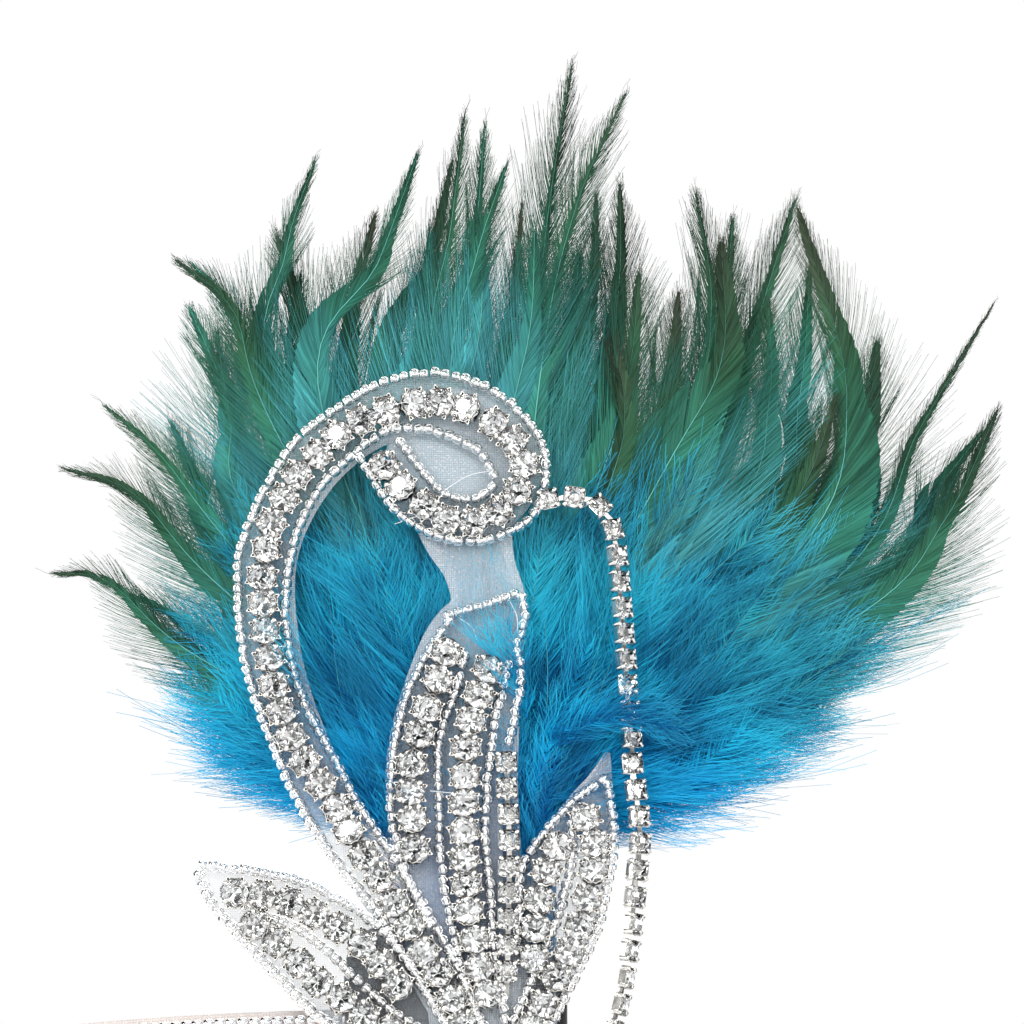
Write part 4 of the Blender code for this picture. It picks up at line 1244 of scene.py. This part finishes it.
def cushion_shape(outline, back, thickness, edge):
    """A closed pad: each step of the edge, from the back and then from the front, goes round the outline."""
    front = back + thickness
    profile = [(share, back + rise * MM) for share, rise in edge]
    profile += [(share, front - rise * MM) for share, rise in reversed(edge)]
    middle = outline.mean(axis=0)
    share, lift = np.array(profile).T
    flat = middle + (outline - middle)[None] * share[:, None, None]
    ring = np.concatenate([flat, np.broadcast_to(lift[:, None, None], (*flat.shape[:2], 1))], axis=-1)
    rows, sides = ring.shape[:2]
    points = np.vstack([ring.reshape(-1, 3), [[*middle, back], [*middle, front]]])
    k = np.arange(sides)
    first = np.column_stack([np.full(sides, rows * sides), (k + 1) % sides, k])
    last_row = (rows - 1) * sides
    last = np.column_stack([np.full(sides, rows * sides + 1), last_row + k, last_row + (k + 1) % sides])
    walls = grid_faces(rows, sides, closed=True)[:, ::-1]
    return points, [Group(walls, 0, True), Group(np.vstack([first, last]), 0, True)]


def rounded_rectangle(x, foot, width, height, corner, steps=10):
    """Points round a rectangle: a quarter circle at each corner."""
    turns = np.linspace(0, np.pi / 2, steps)
    return np.vstack([
        circle(corner, turns + k * np.pi / 2)
        + (x + side_x * (width / 2 - corner), foot + height / 2 + side_z * (height / 2 - corner))
        for k, (side_x, side_z) in enumerate(((1, 1), (-1, 1), (-1, -1), (1, -1)))
    ])


def loop_sheet(start, end, inset, width, gathers):
    """An upright strip on the loop, drawn in and out by shallow gathers across it, and its length."""
    count, columns = 360, 9
    angle = np.linspace(start, end, count)[:, None]
    height = np.linspace(-width / 2, width / 2, columns)[None]
    slow = np.sin(angle * 61 + 3 * np.sin(angle * 7))
    quick = 0.6 * np.sin(angle * 97 + height / MM * 0.2)
    flat_edges = 1 - (2 * height / width) ** 4
    points = loop_point(angle, inset + gathers * (slow + quick) * flat_edges, height)
    reach = lengths_along(points[:, 0])
    uv = stacked(reach[:, None] / MM, height / MM).reshape(-1, 2)
    return part(points.reshape(-1, 3), grid_faces(count, columns), 0, True, uv), reach[-1]


# Stage

def direction_to_euler(direction):
    """Turns that point an object's -Z along the direction with its Y up."""
    x, y, z = direction / np.linalg.norm(direction)
    return (np.arccos(-z), 0.0, np.arctan2(-x, y))


def place_in_scene(name, data, place, direction):
    """Link a light or a camera, turned to look along the direction."""
    obj = bpy.data.objects.new(name, data)
    obj.location = place
    obj.rotation_euler = direction_to_euler(direction)
    bpy.context.scene.collection.objects.link(obj)
    return obj


def build_sky():
    """White behind the object, and a softer room with dark walls for what the jewels reflect."""
    world = bpy.data.worlds.new("studio")
    world.use_nodes = True
    world.node_tree.nodes.clear()
    sky = Nodes(world.node_tree)
    place = sky.node("TexCoord").outputs["Generated"]
    height = sky.node("SeparateXYZ", {"Vector": place}).outputs["Z"]
    cards = sky.node("TexVoronoi", {"Vector": place, "Scale": 2.6}).outputs["Color"]
    room = sky.ramp(
        sky.node("SeparateXYZ", {"Vector": cards}).outputs["X"],
        (0.0, grey(0.01)), (0.2, grey(0.03)), (0.34, grey(0.3)), (0.49, grey(0.7)),
        (0.53, (2.0, 2.0, 1.96)), (1.0, (2.4, 2.4, 2.34)),
    )
    tent = sky.ramp(sky.add(sky.times(height, 0.5), 0.5), (0.0, grey(0.5)), (1.0, grey(0.9)))
    path = sky.node("LightPath").outputs
    matt = sky.mix(path["Is Diffuse Ray"], room, tent)
    color = sky.mix(path["Is Camera Ray"], matt, WHITE)
    backdrop = sky.node("Background", {"Color": color, "Strength": 1.0})
    sky.node("OutputWorld", {"Surface": backdrop.outputs[0]})
    bpy.context.scene.world = world


def build_camera():
    """A long lens from a little below, aimed at the ornament's middle, as the photograph was taken."""
    lens = bpy.data.cameras.new("camera")
    lens.sensor_width = 36
    lens.lens = lens.sensor_width * EYE_DISTANCE / SEEN_WIDTH
    lens.clip_end = 20
    aim = wrap(np.array([AIM.x * MM, AIM.z * MM, NET_FRONT]))
    look = np.array([0, np.cos(EYE_DROP), np.sin(EYE_DROP)])
    bpy.context.scene.camera = place_in_scene("camera", lens, aim - look * EYE_DISTANCE, look)
    bpy.context.scene.view_settings.view_transform = "Standard"


# Sizes and colours that a user would change

def length_property(name, description, default):
    """A length whose default is given in mm."""
    return bpy.props.FloatProperty(name=name, description=description, default=default * MM, unit="LENGTH")


def color_property(name, description, default):
    """A colour whose default is given in linear values."""
    return bpy.props.FloatVectorProperty(
        name=name, description=description, default=default, subtype="COLOR", size=3,
    )


class HeadbandSettings(bpy.types.PropertyGroup):
    """Sizes and colours of the headband's finish"""

    bead_size: length_property("Seed bead", "Width of a seed bead", 1.9)
    claw_stone: length_property("Claw stone", "Width of a sew-on stone", 4.5)
    claw_pitch: length_property("Claw pitch", "Distance between sew-on stones", 4.5)
    cup_stone: length_property("Chain stone", "Width of a chain stone", 3.6)
    cup_pitch: length_property("Chain pitch", "Distance between chain stones", 4.3)
    band_width: length_property("Band", "Width of the organza band", 25)
    elastic_width: length_property("Elastic", "Width of the back elastic", 15)
    hackle_fullness: bpy.props.FloatProperty(
        name="Hackle fullness", description="How far hackle barbs reach out", default=1.25, subtype="FACTOR",
    )
    down_fullness: length_property("Down barb", "How far down barbs reach out", 8.5)
    deep_blue: color_property("Deep blue", "Dye at the foot of the webs", srgb(6, 146, 200))
    turquoise: color_property("Turquoise", "Dye above the foot", srgb(22, 146, 178))
    teal: color_property("Teal", "Dye of the lower webs", srgb(70, 156, 166))
    down_blue: color_property("Down blue", "Dye at the foot of the down", srgb(10, 150, 210))
    # Paler ends of the down: partly their own colour, partly painted light through them.
    down_tip: color_property("Down tip", "Faded ends of the down", srgb(64, 192, 224))
    down_turquoise: color_property("Down turquoise", "Dye of the middle down", srgb(26, 174, 214))
    down_teal: color_property("Down teal", "Dye of the upper down", srgb(44, 148, 164))
    green: color_property("Green", "Dye of the upper webs", srgb(40, 108, 92))
    dark_green: color_property("Dark green", "Dye near the tips", srgb(36, 80, 56))
    olive: color_property("Olive", "Dark tips", srgb(52, 62, 46))
    fringe: color_property("Fringe", "Dark ends of hackle barbs", srgb(42, 52, 46))
    quill: color_property("Quill", "Rachis above the down", srgb(96, 186, 178))
    net: color_property("Net", "Applique net", srgb(200, 214, 226))
    organza: color_property("Organza", "Band cloth", srgb(230, 216, 210))
    felt: color_property("Felt", "Felt and elastic", (0.006, 0.006, 0.007))
    silver: color_property("Silver", "Settings and chain", srgb(240, 238, 234))
    crystal: color_property("Crystal", "Stones and beads", srgb(246, 249, 252))


# One operator for each piece or group of like pieces

class Undoable:
    """What every operator here shares"""

    bl_options = {"REGISTER", "UNDO"}


class HEADBAND_OT_band(Undoable, bpy.types.Operator):
    """Organza band with a row of seed beads along each edge"""

    bl_idname = "headband.band"
    bl_label = "Organza band"

    def execute(self, context):
        settings = context.scene.headband
        color = tuple(settings.organza)
        organza = woven_material(
            "organza_cloth", color, srgb(250, 240, 234), pitch=0.5, glitter_and_glints=0.4, roughness=0.4,
        )
        width = settings.band_width + BAND_EDGES
        sheet, length = loop_sheet(BAND_START, BAND_END, 0.0, width, BAND_GATHERS)
        band = wear("organza_band", [sheet], [organza], "organza", "beaded_band")
        solidify(band, BAND_THICKNESS)
        rng = np.random.default_rng(SEED)
        size = settings.bead_size
        shape = seed_bead(size, size * 0.86)
        parts = []
        for height in (BAND_BEAD_HEIGHT, -BAND_BEAD_HEIGHT):
            curve = loop_point(np.linspace(BAND_START, BAND_END, 900), -BAND_BEAD_LIFT - size / 2, height)
            count = int(lengths_along(curve)[-1] / size)
            points, ahead = stations(curve, np.linspace(0.001, 0.999, count))
            up = np.broadcast_to((0.0, 0.0, 1.0), ahead.shape)
            axes = np.stack([ahead, up, np.cross(ahead, up)], axis=1)
            points = points + rng.normal(0, 0.06 * MM, points.shape)
            parts.append(copies(shape, points, axes * rng.uniform(0.94, 1.05, count)[:, None, None]))
        beads = wear("band_beads", parts, bead_looks(settings), "crystal")
        return {"FINISHED"}


class HEADBAND_OT_elastic(Undoable, bpy.types.Operator):
    """Elastic that closes the loop behind the head"""

    bl_idname = "headband.elastic"
    bl_label = "Back elastic"

    def execute(self, context):
        settings = context.scene.headband
        width = settings.elastic_width
        sheet, length = loop_sheet(ELASTIC_START, ELASTIC_END, ELASTIC_INSET, width, 0.0)
        webbing = elastic_material(settings)
        elastic = wear("back_elastic_webbing", [sheet], [webbing], "elastic", "back_elastic")
        solidify(elastic, ELASTIC_THICKNESS)
        return {"FINISHED"}


class HEADBAND_OT_felt(Undoable, bpy.types.Operator):
    """Felt that the ornament is sewn to"""

    bl_idname = "headband.felt"
    bl_label = "Felt backing"

    def execute(self, context):
        outline = rounded_rectangle(0, FELT_FOOT, *FELT_SIZE, FELT_CORNER)
        points, groups = cushion_shape(outline, FELT_BACK, FELT_THICKNESS, FELT_EDGE)
        black = felt_material(context.scene.headband)
        felt = wear("felt_backing", [Part(wrap(points), groups)], [black], "felt", "felt_patch")
        return {"FINISHED"}


class HEADBAND_OT_net(Undoable, bpy.types.Operator):
    """Net of the applique: crook, curl and leaves, cut in one and lapped where they meet"""

    bl_idname = "headband.net"
    bl_label = "Net"

    def execute(self, context):
        color = tuple(context.scene.headband.net)
        cloth = woven_material(
            "net_cloth", color, srgb(236, 242, 248), pitch=0.36, glitter_and_glints=1.0, roughness=0.3, sheer=True,
        )
        columns = 7
        cut_edge = CUT_EDGE_COVER * np.abs(np.linspace(-1, 1, columns)) ** 6
        parts = []
        for strip in NET_STRIPS.values():
            points, faces = strip_sheet(strip.sections, strip.lift * MM, columns)
            cover = np.interp(points[:, 1], (NECK_FOOT, NECK_TOP), (strip.low_cover, strip.high_cover))
            cover = cover + np.tile(cut_edge, len(points) // columns)
            parts.append(part(wrap(points), faces, 0, True, points[:, :2] / MM, cover))
        points, groups = disc_sheet(CURL)
        parts.append(Part(wrap(points), groups, points[:, :2] / MM, np.full(len(points), CURL.cover)))
        net = wear("applique_net_cloth", parts, [cloth], "net", "applique_net")
        solidify(net, NET_THICKNESS)
        return {"FINISHED"}


class HEADBAND_OT_beads(Undoable, bpy.types.Operator):
    """Seed beads along the crook, round its curl and along the leaves"""

    bl_idname = "headband.beads"
    bl_label = "Seed beads"

    def execute(self, context):
        settings = context.scene.headband
        rng = np.random.default_rng(SEED + 1)
        for name, lines in (("crook_beads", CROOK_BEADS), ("leaf_beads", LEAF_BEADS)):
            wear(name, bead_parts(lines, settings.bead_size, rng), bead_looks(settings), "crystal")
        return {"FINISHED"}


class HEADBAND_OT_stones(Undoable, bpy.types.Operator):
    """Sew-on stones in claw settings, one piece for each row"""

    bl_idname = "headband.stones"
    bl_label = "Set stones"

    def execute(self, context):
        settings = context.scene.headband
        rng = np.random.default_rng(SEED + 2)
        shape = claw_setting(settings.claw_stone)
        for node, row in CLAW_ROWS.items():
            points, ahead = along_row(row, settings.claw_pitch, STONE_BACK)
            axes = row_axes(ahead, *(rng.normal(0, stray, len(points)) for stray in (0.1, 0.1, 0.12)))
            name = node.replace("_stones", "_set_stones")
            wear(name, [wrapped(copies(shape, points, axes))], jewel_looks(settings), "crystal", node)
        return {"FINISHED"}


class HEADBAND_OT_chains(Undoable, bpy.types.Operator):
    """Cup chain sewn down the centre leaf, and the loose one that hangs from the curl"""

    bl_idname = "headband.chains"
    bl_label = "Cup chains"

    def execute(self, context):
        settings = context.scene.headband
        rng = np.random.default_rng(SEED + 3)
        shape = cup_setting(settings.cup_stone, settings.cup_pitch)
        points, ahead = along_row(SEWN_CHAIN, settings.cup_pitch, STONE_BACK)
        sewn = wrapped(copies(shape, points, row_axes(ahead, rng.normal(0, 0.05, len(points)))))
        wear("sewn_chain_stones", [sewn], jewel_looks(settings), "silver", "sewn_cup_chain")
        drape = np.array(DRAPE)
        places = drape[:, :3] * MM + np.array([0, 0, DRAPE_LIFT])
        curve = np.column_stack([smooth_curve(places), smooth_curve(drape[:, 3:])])
        count = round(lengths_along(curve)[-1] / settings.cup_pitch) + 1
        at, ahead = stations(curve, np.linspace(0, 1, count))
        axes = row_axes(ahead, np.radians(at[:, 3]) + rng.normal(0, 0.12, count))
        hung = wrapped(copies(shape, at[:, :3], axes))
        wear("hanging_chain_stones", [hung], jewel_looks(settings), "silver", "chain_drape")
        return {"FINISHED"}


class HEADBAND_OT_threads(Undoable, bpy.types.Operator):
    """Loose ends of clear sewing thread on the net"""

    bl_idname = "headband.threads"
    bl_label = "Loose threads"

    def execute(self, context):
        nylon = mottled_material("nylon_thread", 300.0, (0.75, 0.8, 0.85), (0.95, 0.97, 1.0), Roughness=0.3)
        parts = []
        for knots in LOOSE_THREADS:
            points, faces = tube(smooth_curve(np.array(knots) * MM, 10), radius=0.06 * MM, sides=5)
            parts.append(part(wrap(points), faces))
        wear("loose_threads", parts, [nylon], "net")
        return {"FINISHED"}


class HEADBAND_OT_plume(Undoable, bpy.types.Operator):
    """Fan of dyed hackles over a bed of down"""

    bl_idname = "headband.plume"
    bl_label = "Plume"

    def execute(self, context):
        settings = context.scene.headband
        rng = np.random.default_rng(SEED + 4)
        quill, down = quill_material(settings), down_material(settings)
        feather_pieces("hackles", build_hackles(settings, rng), [barb_material(settings), quill])
        feather_pieces("down", build_down(settings, rng), [down, quill])
        outline = rounded_rectangle(x=4 * MM, foot=19 * MM, width=24 * MM, height=33 * MM, corner=5 * MM)
        points, groups = cushion_shape(outline, PAD_BACK, PAD_THICKNESS, PAD_EDGE)
        # Painted shade: the pad's tone of 0.1 makes the down's material paint it the dark deep blue of
        # strands in shade.
        pad = Part(wrap(points), groups, 0 * points[:, :2], np.full(len(points), 0.1))
        wear("plume_root_pad", [pad], [down], "feather", "feather_plume")
        return {"FINISHED"}


class HEADBAND_OT_stage(Undoable, bpy.types.Operator):
    """Pale floor, soft studio light and the camera"""

    bl_idname = "headband.stage"
    bl_label = "Stage"

    def execute(self, context):
        corners = np.array([(x, y, FLOOR_HEIGHT) for x in FLOOR_ENDS for y in FLOOR_ENDS])
        pale = mottled_material("pale_floor", 3.0, grey(0.86), grey(0.9), Roughness=0.6)
        mesh_piece("pale_floor", [part(corners, np.array([(0, 2, 3, 1)]))], [pale])
        for name, place, size, energy in LIGHTS:
            lamp = bpy.data.lights.new(name, "AREA")
            lamp.size = size
            lamp.energy = energy
            place_in_scene(name, lamp, place, np.array(LIGHT_AIM) - np.array(place))
        build_sky()
        build_camera()
        return {"FINISHED"}


class HEADBAND_PT_panel(bpy.types.Panel):
    """Sidebar panel that lists the pieces"""

    bl_label = "Headband"
    bl_idname = "HEADBAND_PT_panel"
    bl_space_type = "VIEW_3D"
    bl_region_type = "UI"
    bl_category = "Headband"

    def draw(self, context):
        for operator in OPERATORS:
            self.layout.operator(operator.bl_idname)
        for name in HeadbandSettings.__annotations__:
            self.layout.prop(context.scene.headband, name)


OPERATORS = (
    HEADBAND_OT_band,
    HEADBAND_OT_elastic,
    HEADBAND_OT_felt,
    HEADBAND_OT_net,
    HEADBAND_OT_beads,
    HEADBAND_OT_stones,
    HEADBAND_OT_chains,
    HEADBAND_OT_threads,
    HEADBAND_OT_plume,
    HEADBAND_OT_stage,
)


def register():
    bpy.utils.register_class(HeadbandSettings)
    bpy.types.Scene.headband = bpy.props.PointerProperty(type=HeadbandSettings)
    for operator in OPERATORS:
        bpy.utils.register_class(operator)
    bpy.utils.register_class(HEADBAND_PT_panel)


def unregister():
    bpy.utils.unregister_class(HEADBAND_PT_panel)
    for operator in reversed(OPERATORS):
        bpy.utils.unregister_class(operator)
    del bpy.types.Scene.headband
    bpy.utils.unregister_class(HeadbandSettings)


def main():
    register()
    for operator in OPERATORS:
        group, name = operator.bl_idname.split(".")
        getattr(getattr(bpy.ops, group), name)()


if __name__ == "__main__":
    main()
